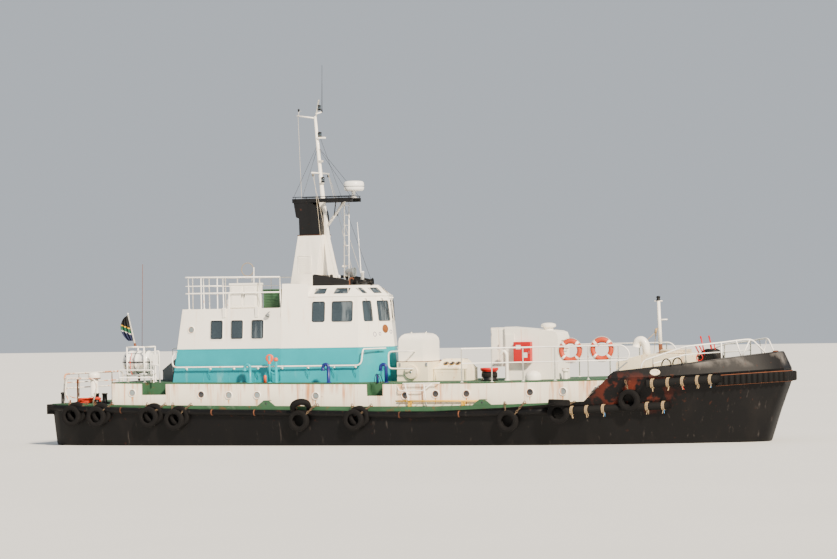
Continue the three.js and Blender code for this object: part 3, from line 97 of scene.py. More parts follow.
def addNode(tree, kind, inputs=None, **settings):
    made = tree.nodes.new(kind)
    for key, value in settings.items():
        setattr(made, key, value)
    for key, value in (inputs or {}).items():
        if isinstance(value, bpy.types.NodeSocket):
            tree.links.new(value, made.inputs[key])
        else:
            made.inputs[key].default_value = value
    return made


def mixTone(tree, factor, first, second):
    return addNode(tree, "ShaderNodeMix", {0: factor, 6: first, 7: second}, data_type="RGBA").outputs[2]


def between(tree, value, low, high):
    return addNode(tree, "ShaderNodeMapRange", {"Value": value, "From Min": low, "From Max": high}).outputs[0]


def times(tree, a, b):
    return addNode(tree, "ShaderNodeMath", {0: a, 1: b}, operation="MULTIPLY").outputs[0]


def noise(tree, where, scale, detail, rough=0.6):
    inputs = {"Vector": where, "Scale": scale, "Detail": detail, "Roughness": rough}
    return addNode(tree, "ShaderNodeTexNoise", inputs).outputs[0]


def finish(
    name, tone, rough=0.5, metal=0.0, mottle=0.12, grain=2.5, marks=(), bump=0.0, bumpScale=60.0, coat=0.0,
    shine=0.5
):
    material = bpy.data.materials.new(name)
    material.use_nodes = True
    tree = material.node_tree
    tree.nodes.clear()
    where = addNode(tree, "ShaderNodeTexCoord").outputs["Object"]
    axes = addNode(tree, "ShaderNodeSeparateXYZ", {"Vector": where}).outputs
    cloud = noise(tree, where, grain, 5.0)
    base = linear(tone)
    dark = tuple(c * (1 - mottle) for c in base[:3]) + (1.0,)
    light = tuple(min(1.0, c * (1 + mottle)) for c in base[:3]) + (1.0,)
    colour = mixTone(tree, between(tree, cloud, 0.3, 0.7), dark, light)
    levels = {"Value": between(tree, cloud, 0.0, 1.0), "To Min": rough - 0.06, "To Max": rough + 0.06}
    roughness = addNode(tree, "ShaderNodeMapRange", levels).outputs[0]
    for mark in marks:
        spread = {"Vector": where, "Scale": mark["scale"], "Location": mark["shift"]}
        placed = addNode(tree, "ShaderNodeMapping", spread).outputs[0]
        mask = between(tree, noise(tree, placed, 1.0, mark["detail"]), mark["low"], mark["high"])
        for axis, start, full in mark["zones"]:
            mask = times(tree, mask, between(tree, axes["XYZ".index(axis)], start, full))
        mask = times(tree, mask, mark["strength"])
        colour = mixTone(tree, mask, colour, linear(mark["tone"]))
        roughness = addNode(tree, "ShaderNodeMix", {0: mask, 2: roughness, 3: mark["rough"]}).outputs[0]
    inputs = {
        "Base Color": colour, "Roughness": roughness, "Metallic": metal, "Coat Weight": coat,
        "Specular IOR Level": shine
    }
    if bump:
        dents = {"Height": noise(tree, where, bumpScale, 3.0, 0.5), "Strength": bump, "Distance": 0.01}
        inputs["Normal"] = addNode(tree, "ShaderNodeBump", dents).outputs[0]
    shader = addNode(tree, "ShaderNodeBsdfPrincipled", inputs)
    addNode(tree, "ShaderNodeOutputMaterial", {"Surface": shader.outputs[0]})
    material.diffuse_color = base
    return material


# A mark is a layer over the base: a noise of its own scale for each metre, cut at low..high, within zones
# that are (axis, where it starts, where it is full)
def scuffs(tone, scale, low, high, strength, rough=0.8, zones=(), shift=(0, 0, 0), detail=4.0):
    return {
        "tone": tone, "scale": scale, "low": low, "high": high, "strength": strength, "rough": rough,
        "zones": zones, "shift": shift, "detail": detail,
    }


rustTones = {"dark": "#5b2c19", "brown": "#6c3a20", "orange": "#c4742e", "stain": "#d79a55", "red": "#63281a"}


def streaks(top, reach, strength=0.75, low=0.55, tone="stain", wide=5.0, shift=0.0):
    zones = [("Z", top - reach, top)]
    return scuffs(rustTones[tone], (wide, wide, 0.35), low, low + 0.13, strength, 0.75, zones, (shift, 0, 0))


def patches(size, low, strength=0.8, tone="brown", zones=(), shift=0.0):
    sizes = (size, size, size)
    return scuffs(rustTones[tone], sizes, low, low + 0.08, strength, 0.85, zones, (shift, shift, 0), 6.0)


hullBlack = finish(
    "black hull paint, satin and scuffed", "#040406", 0.55, mottle=0.3, grain=1.2, bump=0.15, bumpScale=14,
    shine=0.2,
    marks=[
        scuffs("#221d1b", (1.5, 1.5, 0.5), 0.5, 0.75, 0.3, 0.7),
        patches(2.2, 0.49, 0.8, "red", [("X", 6.4, 7.4), ("X", 9.4, 8.2), ("Z", 2.3, 1.8), ("Z", 0.9, 1.2)]),
        patches(5.0, 0.64, 0.35, "brown", [("Z", 0.6, 1.1)]),
        patches(4.0, 0.67, 0.3, "dark", [], 3.0),
        scuffs("#57504c", (7, 7, 1.2), 0.64, 0.72, 0.3, 0.6),
        scuffs("#8a847e", (1.2, 1.2, 1.0), 0.5, 0.72, 0.5, 0.6, [("X", 8.9, 9.8), ("Z", 2.3, 2.5)]),
    ],
)
antifouling = finish(
    "antifouling, matt red brown", "#54251d", 0.8, mottle=0.25, grain=1.5, bump=0.2, bumpScale=25,
    marks=[scuffs("#35413a", (1, 1, 0.6), 0.5, 0.7, 0.55, 0.9)],
)
deckGreen = finish(
    "deck green, worn", "#2b5236", 0.75, mottle=0.25, grain=1.8, bump=0.2, bumpScale=45,
    marks=[patches(3.0, 0.6, 0.6), scuffs("#8d9a8b", (2, 2, 2), 0.6, 0.75, 0.35)],
)
trunkWhite = finish(
    "white side paint, rust stained", "#f8eeda", 0.45, mottle=0.05, grain=0.8, coat=0.1,
    marks=[
        streaks(2.03, 1.0, 0.8, 0.53, "stain", 3.6), streaks(2.03, 0.45, 0.95, 0.56, "orange", 6.0, 4.0),
        streaks(1.62, 0.6, 0.8, 0.55, "orange", 6.0, 9.0), patches(6.0, 0.66, 0.5),
    ],
)
houseWhite = finish(
    "white house paint, gloss", "#f8f3e8", 0.35, mottle=0.04, grain=0.7, coat=0.2,
    marks=[streaks(4.9, 2.2, 0.25, 0.6, "stain", 4.0), streaks(3.6, 0.6, 0.25, 0.6, "stain", 5.0, 3.0)],
)
creamPaint = finish(
    "cream deck paint, rust stained", "#f5e9cb", 0.5, mottle=0.07, grain=1.2,
    marks=[
        streaks(2.62, 0.7, 0.7, 0.56, "stain", 5.0), streaks(2.62, 0.4, 0.8, 0.63, "orange", 7.0, 2.0),
        patches(5.0, 0.62, 0.55, "orange")
    ],
)
deckWhite = finish(
    "white deck paint, stained", "#f5f0e4", 0.45, mottle=0.05, grain=1.1, coat=0.1,
    marks=[
        streaks(3.6, 1.3, 0.3, 0.62, "stain", 3.0, 2.0), streaks(2.5, 0.5, 0.6, 0.62, "stain", 5.0),
        patches(3.0, 0.69, 0.6, "orange")
    ],
)
tealPaint = finish(
    "teal paint, gloss", "#0d93a0", 0.35, mottle=0.09, grain=1.0, coat=0.15, bump=0.12, bumpScale=2.2,
    marks=[
        scuffs("#a9d6d4", (3, 3, 0.6), 0.58, 0.75, 0.35, zones=[("Z", 2.6, 2.1)]),
        patches(7.0, 0.66, 0.55, "brown", [("Z", 2.5, 2.0)]),
    ],
)
bluePaint = finish("blue pipe paint", "#0b1b68", 0.4, mottle=0.12, marks=[patches(9, 0.66, 0.5)])
redPaint = finish("red paint, gloss", "#b8060c", 0.4, mottle=0.1, marks=[patches(9, 0.68, 0.5, "dark")])
orangePaint = finish("orange valve paint", "#d2532e", 0.5, mottle=0.1)
yellowPaint = finish("yellow paint, worn", "#d8a51f", 0.5, mottle=0.15, marks=[patches(7, 0.6, 0.6)])
railWorn = finish(
    "rail paint, rusting through", "#ece6da", 0.5, mottle=0.08, grain=5,
    marks=[patches(2.4, 0.5, 0.85, "orange"), patches(7.0, 0.56, 0.7)]
)
blackPaint = finish(
    "black paint, satin", "#070709", 0.45, shine=0.35, mottle=0.2, marks=[patches(6, 0.66, 0.5, "dark")]
)
greyPaint = finish("grey deck paint", "#717679", 0.55, mottle=0.12, marks=[patches(5, 0.62, 0.5)])
rubber = finish(
    "fender rubber, scuffed", "#070708", 0.85, shine=0.25, mottle=0.25, grain=6, bump=0.3, bumpScale=40,
    marks=[patches(8, 0.66, 0.35)]
)
tyreRubber = finish(
    "tyre rubber, matt", "#070607", 0.88, shine=0.25, mottle=0.3, grain=8, bump=0.35, bumpScale=55
)
railWhite = finish(
    "white rail paint, chipped", "#f4f1ea", 0.4, mottle=0.05, grain=4,
    marks=[patches(3.0, 0.62, 0.8, "orange"), patches(14.0, 0.66, 0.6)]
)
rustySteel = finish("rusty steel", "#6a3c22", 0.85, mottle=0.35, grain=9, bump=0.3, bumpScale=60)
chainSteel = finish("chain, brown and worn", "#63523f", 0.75, 0.3, mottle=0.35, grain=14)
darkSteel = finish("dark steel", "#3c3e41", 0.5, 0.6, mottle=0.2)
brightSteel = finish("stainless steel", "#b9bcc0", 0.3, 0.9, mottle=0.1)
laid = {"bump": 0.5, "bumpScale": 150}
whiteRope = finish("white rope", "#cfc3ac", 0.85, mottle=0.25, grain=30, **laid)
brownRope = finish("brown rope", "#a08a68", 0.9, mottle=0.3, grain=30, **laid)
tarredRope = finish("tarred rope", "#15110f", 0.9, mottle=0.3, grain=30, **laid)
orangeRope = finish("orange rope", "#cc3410", 0.8, mottle=0.25, grain=25, **laid)
blueRope = finish("blue rope", "#3c7db3", 0.8, mottle=0.25, grain=25, **laid)
buoyOrange = finish("lifebuoy shell, orange", "#b23c18", 0.55, mottle=0.1, grain=5, bump=0.08)
buoyWhite = finish("reflective band, white", "#e4e2dc", 0.4, mottle=0.05)
raftWhite = finish("glass fibre, white", "#f0efeb", 0.3, mottle=0.04, coat=0.3)
varnish = finish("varnished boards", "#7b5a38", 0.4, mottle=0.25, grain=2.0)
bronze = finish("bronze, dulled", "#9c7a3a", 0.4, 0.85, mottle=0.25, grain=6)
crestBrown = finish("varnished plaque", "#7a4616", 0.5, mottle=0.2, grain=12)
clothBlack = finish("dark trim", "#22252a", 0.6, mottle=0.15)


def paneFinish(name, tone, alpha):
    # See-through panes get pale, glossy sky-grey streaks over the tint: painted reflection of the sky
    bands = [scuffs("#8f9aa0", (4.0, 4.0, 0.12), 0.54, 0.62, 0.4, 0.15)] if alpha < 1 else []
    material = finish(name, tone, 0.08, mottle=0.25, grain=0.9, marks=bands)
    shader = next(n for n in material.node_tree.nodes if n.type == "BSDF_PRINCIPLED")
    shader.inputs["Alpha"].default_value = alpha
    shader.inputs["Specular IOR Level"].default_value = 0.8
    return material


paneGlass = paneFinish("window glass, tinted", "#333f47", 0.82)
portGlass = paneFinish("porthole glass", "#2b2a2c", 1.0)
# Opaque pale grey glass for the lighter portholes, the deckhouse porthole and the searchlight lens
paleGlass = paneFinish("porthole glass, pale grey", "#7d8789", 1.0)
rustRun = finish("rust run", "#c88a4a", 0.8, mottle=0.35, grain=14)
boatCloth = {"bump": 0.4, "bumpScale": 260, "mottle": 0.2, "grain": 18}
clothDark = finish("bunting, black", "#0c0d10", 0.85, **boatCloth)
clothGreen = finish("bunting, green", "#0f5238", 0.85, **boatCloth)
clothBlue = finish("bunting, blue", "#10193c", 0.85, **boatCloth)
clothWhite = finish("bunting, white", "#b4b4ae", 0.85, **boatCloth)
print("materials made")


# Equal angles round a circle, spokes about an axis, and the profile of a wire hoop
def wholeTurn(count):
    return [2 * pi * k / count for k in range(count)]


def spokes(axis, count):
    along = Vector(axis).normalized()
    side = along.orthogonal().normalized()
    other = along.cross(side)
    return along, [side * cos(t) + other * sin(t) for t in wholeTurn(count)]


def hoopProfile(radius, wire, count):
    return [(radius + wire * cos(t), wire * sin(t)) for t in wholeTurn(count)]


halfTurn = [pi * k / 10 for k in range(11)]


# Shapes: lists of points and faces gathered into one mesh
class Shape:
    def __init__(self):
        self.verts, self.faces, self.slots, self.smooth = [], [], [], []

    def add(self, verts, faces, slot=0, smooth=False):
        start = len(self.verts)
        self.verts += [tuple(v) for v in verts]
        self.faces += [tuple(start + i for i in face) for face in faces]
        self.slots += [slot] * len(faces)
        self.smooth += [smooth] * len(faces)
        return self

    def rings(self, rings, slot=0, smooth=True, closed=False, caps=True):
        count = len(rings[0])
        faces = []
        spans = len(rings) if closed else len(rings) - 1
        for i in range(spans):
            a, b = i * count, ((i + 1) % len(rings)) * count
            faces += [(a + j, a + (j + 1) % count, b + (j + 1) % count, b + j) for j in range(count)]
        self.add([v for ring in rings for v in ring], faces, slot, smooth)
        if caps and not closed:
            self.add(rings[0], [tuple(reversed(range(count)))], slot)
            self.add(rings[-1], [tuple(range(count))], slot)
        return self

    def tube(self, points, radius, slot=0, facets=12, closed=False):
        points = [Vector(p) for p in points]
        radii = radius if isinstance(radius, (list, tuple)) else [radius] * len(points)
        last = len(points) - 1
        side = None
        rings = []
        for i, p in enumerate(points):
            before = points[i - 1] if i or closed else p
            after = points[(i + 1) % len(points)] if i < last or closed else p
            along = ((p - before).normalized() + (after - p).normalized()).normalized()
            if side is None:
                side = along.orthogonal().normalized()
            side = (side - along * side.dot(along)).normalized()
            other = along.cross(side)
            rings.append([p + (side * cos(t) + other * sin(t)) * radii[i] for t in wholeTurn(facets)])
        return self.rings(rings, slot, True, closed)

    # a tube whose corners are rounded off
    def bent(self, points, corner, steps, radius, slot=0, facets=12):
        return self.tube(rounded(points, corner, steps), radius, slot, facets)

    def rod(self, a, b, radius, slot=0, facets=12, endRadius=None):
        return self.tube([a, b], [radius, radius if endRadius is None else endRadius], slot, facets)

    def box(self, x0, x1, y0, y1, z0, z1, slot=0):
        xs, ys, zs = sorted((x0, x1)), sorted((y0, y1)), sorted((z0, z1))
        corners = [
            (x, y, z) for z in zs for x, y in ((xs[0], ys[0]), (xs[1], ys[0]), (xs[1], ys[1]), (xs[0], ys[1]))
        ]
        faces = [(3, 2, 1, 0), (4, 5, 6, 7), (0, 1, 5, 4), (1, 2, 6, 5), (2, 3, 7, 6), (3, 0, 4, 7)]
        return self.add(corners, faces, slot)

    # profile is [radius, along] pairs about an axis through centre
    def lathe(self, profile, centre, slot=0, facets=24, axis=(0, 0, 1), smooth=True):
        centre = Vector(centre)
        along, out = spokes(axis, facets)
        return self.rings(
            [[centre + along * h + spoke * r for spoke in out] for r, h in profile], slot, smooth
        )

    # profile turned right round, without end caps
    def ringLathe(self, profile, centre, slot=0, facets=32, axis=(0, 0, 1)):
        centre = Vector(centre)
        along, out = spokes(axis, facets)
        return self.rings(
            [[centre + along * h + spoke * r for r, h in profile] for spoke in out], slot, closed=True
        )

    # outline in x and z, extruded along y
    def prism(self, outline, low, high, slot=0):
        count = len(outline)
        verts = [(x, y, z) for y in (low, high) for x, z in outline]
        faces = [tuple(reversed(range(count))), tuple(range(count, 2 * count))]
        faces += [(j, (j + 1) % count, count + (j + 1) % count, count + j) for j in range(count)]
        return self.add(verts, faces, slot)

    def make(self, name, materials, slotName="white_paint", bevel=0.0, body="vessel", replaces=()):
        mesh = bpy.data.meshes.new(name)
        mesh.from_pydata(self.verts, [], self.faces)
        for polygon, slot, smooth in zip(mesh.polygons, self.slots, self.smooth):
            polygon.material_index = slot
            polygon.use_smooth = smooth
        made = bmesh.new()
        made.from_mesh(mesh)
        bmesh.ops.recalc_face_normals(made, faces=made.faces)
        bmesh.ops.remove_doubles(made, verts=made.verts, dist=1e-6)
        made.to_mesh(mesh)
        made.free()
        return place(name, mesh, materials, slotName, bevel, body, replaces)


bevelValues = {"segments": 2, "angle": 40}


def place(name, mesh, materials, slotName, bevel, body, replaces):
    for material in materials:
        mesh.materials.append(material)
    made = linked(name, mesh)
    if bevel:
        edge = made.modifiers.new("bevel", "BEVEL")
        edge.width, edge.segments, edge.limit_method = bevel, bevelValues["segments"], "ANGLE"
        edge.angle_limit = radians(bevelValues["angle"])
        edge.harden_normals = True
    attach(made, body)
    if replaces:
        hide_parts(*replaces)
    return made


# A painted copy of a CAD node: cut at planes (point, normal), then each face takes the material that
# rule names
def painted(
    node, name, materials, slotName, cuts=(), rule=None, bevel=0.0, body="vessel", drop=None, edit=None,
    smoothAngle=28
):
    mesh = nodes[node].data.copy()
    mesh.name = name
    mesh.materials.clear()
    made = bmesh.new()
    made.from_mesh(mesh)
    bmesh.ops.remove_doubles(made, verts=made.verts, dist=1e-5)
    for point, normal in cuts:
        geometry = made.verts[:] + made.edges[:] + made.faces[:]
        bmesh.ops.bisect_plane(made, geom=geometry, dist=1e-5, plane_co=point, plane_no=normal)
    if edit:
        edit(made)
    if drop:
        gone = [f for f in made.faces if drop(f.calc_center_median(), f.normal)]
        bmesh.ops.delete(made, geom=gone, context="FACES")
    made.normal_update()
    for face in made.faces:
        face.material_index = rule(face.calc_center_median(), face.normal) if rule else 0
        face.smooth = True
    limit = radians(smoothAngle)
    for edge in made.edges:
        faces = edge.link_faces
        same = len(faces) == 2 and faces[0].material_index == faces[1].material_index
        edge.smooth = len(faces) == 2 and edge.calc_face_angle(0) < limit and same
    made.to_mesh(mesh)
    made.free()
    return place(name, mesh, materials, slotName, bevel, body, [node])


# Upright cuts across the boat, and an edit that cuts the sides along a line of x and z
def crossCuts(xs):
    return [((x, 0, 0), (1, 0, 0)) for x in xs]


def cutAlong(line):
    def edit(made):
        for (x0, z0), (x1, z1) in zip(line, line[1:]):
            faces = [f for f in made.faces if x0 - 1e-4 < f.calc_center_median().x < x1 + 1e-4]
            faces = [f for f in faces if f.calc_center_median().z > 0]
            geometry = set(faces) | {e for f in faces for e in f.edges} | {v for f in faces for v in f.verts}
            normal = vec(x1 - x0, 0, z1 - z0).cross(vec(0, 1, 0))
            bmesh.ops.bisect_plane(
                made, geom=list(geometry), dist=1e-5, plane_co=(x0, 0, z0), plane_no=normal
            )

    return edit


# A route whose corners are rounded off
def rounded(points, radius, steps=5):
    spots = [Vector(p) for p in points]
    route = [spots[0]]
    for i in range(1, len(spots) - 1):
        back, on = spots[i - 1] - spots[i], spots[i + 1] - spots[i]
        reach = min(radius, back.length / 2.1, on.length / 2.1)
        a, b = spots[i] + back.normalized() * reach, spots[i] + on.normalized() * reach
        for k in range(steps + 1):
            t = k / steps
            route.append(a * (1 - t) ** 2 + spots[i] * 2 * t * (1 - t) + b * t * t)
    route.append(spots[-1])
    return route


# A value from a table of stations along the boat
def lineAt(line, x, column=1):
    if x <= line[0][0]:
        return line[0][column]
    for a, b in zip(line, line[1:]):
        if x <= b[0]:
            return a[column] + (b[column] - a[column]) * (x - a[0]) / (b[0] - a[0])
    return line[-1][column]


# The boat's own lines, in metres
mainDeckLine = [
    (-12.2, 1.37), (-9, 1.32), (-5, 1.275), (-1, 1.235), (1.5, 1.228), (4, 1.28), (6.46, 1.35), (7.18, 2.04),
    (9, 2.1), (10.35, 2.165), (11.7, 2.235), (12.1, 2.255)
]
trunkDeckLine = [(-9.9, 2.06), (-8.3, 2.03), (-0.9, 1.965), (3, 1.962), (7.15, 2.025)]
hullLine = [
    (-12.2, 2.33, 0.3, 2.56), (-11.9, 2.56, 0.25, 2.8), (-11, 2.76, 0.2, 2.98), (-9.5, 2.9, 0.12, 3.08),
    (-7.5, 2.99, 0.06, 3.13), (-4, 3.05, 0, 3.15), (0, 3.06, 0, 3.15), (3, 3, 0, 3.15), (5, 2.8, 0, 3.12),
    (6.46, 2.56, 0, 3.05), (7.18, 2.38, 0.05, 2.96), (8.5, 1.95, 0.1, 2.68), (9.6, 1.48, 0.15, 2.3),
    (10.35, 1.12, 0.2, 1.96), (11, 0.83, 0.4, 1.56), (11.5, 0.64, 0.9, 1.16), (11.8, 0.5, 1.4, 0.88),
    (12, 0.44, 1.75, 0.61), (12.1, 0.4, 1.9, 0.45),
]
bulwarkHead = [
    (7.21, 2.075, 0.015), (7.41, 2.24, 0.04), (8.5, 2.35, 0.09), (9.6, 2.46, 0.135), (10.35, 2.56, 0.18),
    (11, 2.63, 0.2), (11.5, 2.69, 0.21), (11.8, 2.72, 0.215), (12, 2.745, 0.22), (12.1, 2.755, 0.225),
]
strakeLine = [(-12.15, 1.24), (-9, 1.15), (-6.5, 1.085), (-3, 1.045), (1.1, 0.96), (4, 1.02), (5.9, 1.08)]
sides = {"starboard": -1, "port": 1}


def deckZ(x):
    return lineAt(mainDeckLine, x)


def trunkZ(x):
    return lineAt(trunkDeckLine, x)


def deckHalf(x):
    return lineAt(hullLine, x, 3)


def hullHalf(x, z):
    turnY, turnZ = lineAt(hullLine, x, 1), lineAt(hullLine, x, 2)
    return turnY + (deckHalf(x) - turnY) * max(0, (z - turnZ) / (deckZ(x) - turnZ))


# The deckhouse's side and after walls at a height: both lean in as they rise
wallValues = {"foot": 2, "half": 2.15, "lean": 0.083, "aft": -7.995, "aftLean": 0.128}


def wallY(z):
    return wallValues["half"] - (z - wallValues["foot"]) * wallValues["lean"]


def aftWallX(z):
    return wallValues["aft"] + (z - wallValues["foot"]) * wallValues["aftLean"]


print("tools ready")


# Hull: black, green along the gunwale and on deck, red brown under water
hullValues = {"stripFall": 0.15, "stripEnd": 5.7, "stripCuts": [-12.2, -9, -5, -1, 1.5, 4, 5.7]}


def stripZ(x):
    return deckZ(x) - hullValues["stripFall"] * min(1.0, max(0.15, (6.6 - x) / 4))


def hullRule(c, n):
    if c.z < 0:
        return 2
    if n.z > 0.6 and c.z > 1:
        return 1
    return 1 if c.x < hullValues["stripEnd"] and c.z > stripZ(c.x) - 0.001 else 0


hullCuts = crossCuts(hullValues["stripCuts"][1:]) + [((0, 0, 0), (0, 0, 1))]
stripLine = [(x, stripZ(x)) for x in hullValues["stripCuts"]]
hullPaints = [hullBlack, deckGreen, antifouling]
painted("hull", "hull_painted", hullPaints, "hull_paint", hullCuts, hullRule, edit=cutAlong(stripLine))

# Trunk: white sides, green deck and step recesses
trunkValues = {"edge": 0.04, "steps": [(-8.76, -7.9), (-0.84, -0.3)]}


def trunkRule(c, n):
    if n.z > 0.6 and c.z > 1.9:
        return 1
    inStep = any(a - 0.001 <= c.x <= b + 0.001 for a, b in trunkValues["steps"])
    if inStep and abs(c.y) < 2.849 and abs(c.y) > 2.3:
        return 1
    return 1 if c.z > trunkZ(c.x) - trunkValues["edge"] and abs(c.y) > 2.2 else 0


def isVent(c, n):
    return 2.2 < abs(c.y) < 2.7 and c.z > trunkZ(c.x) + 0.002


edgeLine = [(x, z - trunkValues["edge"]) for x, z in trunkDeckLine]
trunkCuts = crossCuts([x for x, z in edgeLine[1:-1]])
trunkPaints = [trunkWhite, deckGreen]
painted(
    "trunk", "trunk_painted", trunkPaints, "white_paint", trunkCuts, trunkRule, drop=isVent,
    edit=cutAlong(edgeLine)
)

# Bulwark, fore house and stern fender
painted("bulwark", "bulwark_painted", [hullBlack], "hull_paint", bevel=0.008)
painted("fore_house", "fore_house_painted", [creamPaint], "cream_paint", bevel=0.012)
painted("stern_fender", "stern_fender_block", [rubber], "fender_rubber", bevel=0.02)
print("hull painted")

# Deckhouse and wheelhouse: teal under the band line, white over it
bandZ = 3.09


def houseRule(c, n):
    return 0 if c.z < bandZ else 1


bandCut = [((0, 0, bandZ), (0, 0, 1))]
for house, slotName in (("deckhouse", "teal_paint"), ("wheelhouse", "white_paint")):
    painted(house, house + "_painted", [tealPaint, houseWhite], slotName, bandCut, houseRule, bevel=0.012)
print("houses painted")

# Rubbing strakes, tyres and their chains
strakeValues = {
    "radius": 0.095, "out": 0.04, "xs": [-12.15, -11, -9.5, -7.5, -4, -1, 2, 4, 5.35], "tyreOut": 0.17,
    "joints": [-9.4, -6.1, -4.6, 0.4, 2.4]
}
tyreSpots = [
    # x, z, doubled, how far it lies over
    (-11.26, 0.98, 1, 4), (-10.29, 0.95, 1, -3), (-8.35, 0.94, 1, 5), (-7.42, 0.85, 1, 2),
    (-2.96, 1.2, 0, 52), (-3.02, 0.8, 0, 3), (-1.12, 0.82, 1, -4), (4.02, 0.76, 0, 3),
]
tyreHalf = [
    (0.185, -0.075), (0.205, -0.092), (0.25, -0.1), (0.3, -0.097), (0.325, -0.085), (0.337, -0.065),
    (0.34, -0.03), (0.334, -0.024), (0.334, -0.016), (0.34, -0.01),
]
tyreInside = [(0.195, 0.06), (0.26, 0.062), (0.3, 0), (0.26, -0.062), (0.195, -0.06)]
tyreProfile = tyreHalf + [(r, -h) for r, h in reversed(tyreHalf)] + tyreInside


def addTyre(shape, x, y, z, tilt, side, slot=0):
    angle = radians(tilt)
    axis = (sin(radians(tilt * 0.4)), side * cos(angle), -sin(angle))
    shape.ringLathe(tyreProfile, (x, y, z), slot, 40, axis)


def addChain(shape, a, b, slot=0, pitch=0.075, wire=0.011):
    a, b = Vector(a), Vector(b)
    count = max(2, round((b - a).length / pitch))
    for i in range(count):
        middle = a.lerp(b, (i + 0.5) / count)
        along = (b - a).normalized()
        side = along.orthogonal().normalized()
        if i % 2:
            side = along.cross(side)
        link = [middle + along * cos(t) * pitch * 0.72 + side * sin(t) * pitch * 0.36 for t in wholeTurn(10)]
        shape.tube(link, wire, slot, 5, closed=True)


def makeStrake(name, side):
    bar = Shape()
    xs = strakeValues["xs"]
    route = []
    for a, b in zip(xs, xs[1:]):
        route += [a + (b - a) * k / 3 for k in range(3)]
    route.append(xs[-1])
    points = [
        (x, side * (hullHalf(x, lineAt(strakeLine, x)) + strakeValues["out"]), lineAt(strakeLine, x))
        for x in route
    ]
    bar.tube(points, strakeValues["radius"], 0, 20)
    for x in strakeValues["joints"]:
        z = lineAt(strakeLine, x)
        y = side * (hullHalf(x, z) + strakeValues["out"])
        bar.tube([(x - 0.02, y, z), (x + 0.02, y, z)], strakeValues["radius"] + 0.008, 1, 20)
    bar.make("strake_bar_" + name, [hullBlack, rustySteel], "tyre_rubber", replaces=["strake_" + name])
    tyres, chains = Shape(), Shape()
    for x, z, doubled, tilt in tyreSpots:
        out = hullHalf(x, z) + strakeValues["tyreOut"]
        lie = tilt if abs(tilt) > 20 else tilt * 0.5
        inward, lift = (0.06, 0.03) if tilt > 20 else (0, 0)
        addTyre(tyres, x, side * (out - inward), z + lift, lie, side)
        if doubled:
            addTyre(tyres, x + 0.15, side * (out - 0.09), z + 0.11, 4, side)
        edge = deckZ(x + 0.45) + 0.03
        chainY = side * (deckHalf(x) + 0.01)
        if tilt < 20:
            addChain(chains, (x + 0.2, side * (out + 0.06), z + 0.15), (x + 0.52, chainY, edge))
            addChain(chains, (x - 0.05, side * (out + 0.04), z + 0.26), (x - 0.12, chainY, edge))
        for foot in (x + 0.53, x - 0.12):
            half, deck = deckHalf(foot), deckZ(foot)
            ring = [(0.045, -0.012), (0.057, 0), (0.045, 0.012), (0.033, 0)]
            chains.ringLathe(ring, (foot, side * (half - 0.03), deck + 0.04), 1, 14, (0.3, 1, 0))
            chains.box(
                foot - 0.04, foot + 0.04, side * (half - 0.09), side * (half - 0.005), deck, deck + 0.022, 1
            )
    tyres.make("tyres_" + name, [tyreRubber], "tyre_rubber")
    chains.make("tyre_chains_" + name, [chainSteel, rustySteel], "tyre_rubber")


for name, side in sides.items():
    makeStrake(name, side)

# Round fenders along the shoulders, their lashings and tyres
shoulderValues = {
    "radius": 0.12, "aft": 5.42, "fore": 9.0, "low": 1.05, "rise": 0.15, "off": 0.075,
    "lashings": [(6.09, 0), (6.55, 0), (7.03, 1), (8.33, 0), (8.8, 1)], "tyres": [(5.72, 1.01), (7.84, 1.37)]
}


def shoulderPoint(x, side):
    v = shoulderValues
    z = v["low"] + (x - v["aft"]) / (v["fore"] - v["aft"]) * v["rise"]
    return (x, side * (hullHalf(x, z) + v["off"]), z)


# Three turns of line round a fender, with one end up to the rail and two hanging
def addLashing(shape, pointAt, x, side, radius, tail, tint):
    point = Vector(pointAt(x, side))
    along = (Vector(pointAt(x + 0.05, side)) - point).normalized()
    out = vec(0, point.y, 0).normalized()
    for k in range(3):
        middle = point + along * (k - 1) * 0.032
        loop = [middle + (out * cos(t) + vec(0, 0, sin(t))) * (radius + 0.012) for t in wholeTurn(18)]
        shape.tube(loop, 0.012, 0, 6, closed=True)
    top = point + vec(0, 0, radius + 0.01) - out * 0.05
    bends = [top + vec(0, 0, tail * 0.5) - out * 0.04, top + vec(0, 0, tail) - out * 0.09]
    shape.tube([top, *bends], 0.013, 0, 6)
    low = point - vec(0, 0, radius - 0.02) + out * 0.05
    for k in range(2):
        hang = low + along * (0.03 * k)
        bends = [hang - vec(rng.uniform(-0.03, 0.03), 0, fall) for fall in (0.07, 0.14)]
        shape.tube([hang, *bends], 0.011, tint if k else 0, 6)


v = shoulderValues
for name, side in sides.items():
    bar = Shape()
    xs = [v["aft"] + (v["fore"] - v["aft"]) * k / 18 for k in range(19)]
    bar.tube([shoulderPoint(x, side) for x in xs], v["radius"], 0, 20)
    for x, z in v["tyres"]:
        addTyre(bar, x, side * (hullHalf(x, 1.1) + 0.27), z, 3, side, 1)
    bar.ringLathe(tyreProfile, (5.76, side * (hullHalf(5.76, 1.32) + 0.24), 1.33), 1, 40, (0.04, 0.05, 1))
    bar.make(
        "shoulder_bar_" + name, [rubber, tyreRubber], "tyre_rubber", replaces=["shoulder_fender_" + name]
    )
    ropes = Shape()
    for x, tint in v["lashings"]:
        addLashing(ropes, shoulderPoint, x, side, v["radius"], 0.16, tint)
    for x, z, headX, headZ, wallAt in ((7.84, 1.62, 7.75, 1.98, 2.0), (5.9, 1.2, 6.2, 1.36, 1.3)):
        head = (headX, side * (hullHalf(headX, wallAt) + 0.03), headZ)
        addChain(ropes, (x, side * (hullHalf(x, 1.1) + 0.3), z), head, 2)
    ropes.make("shoulder_lashings_" + name, [brownRope, blueRope, chainSteel], "tyre_rubber")

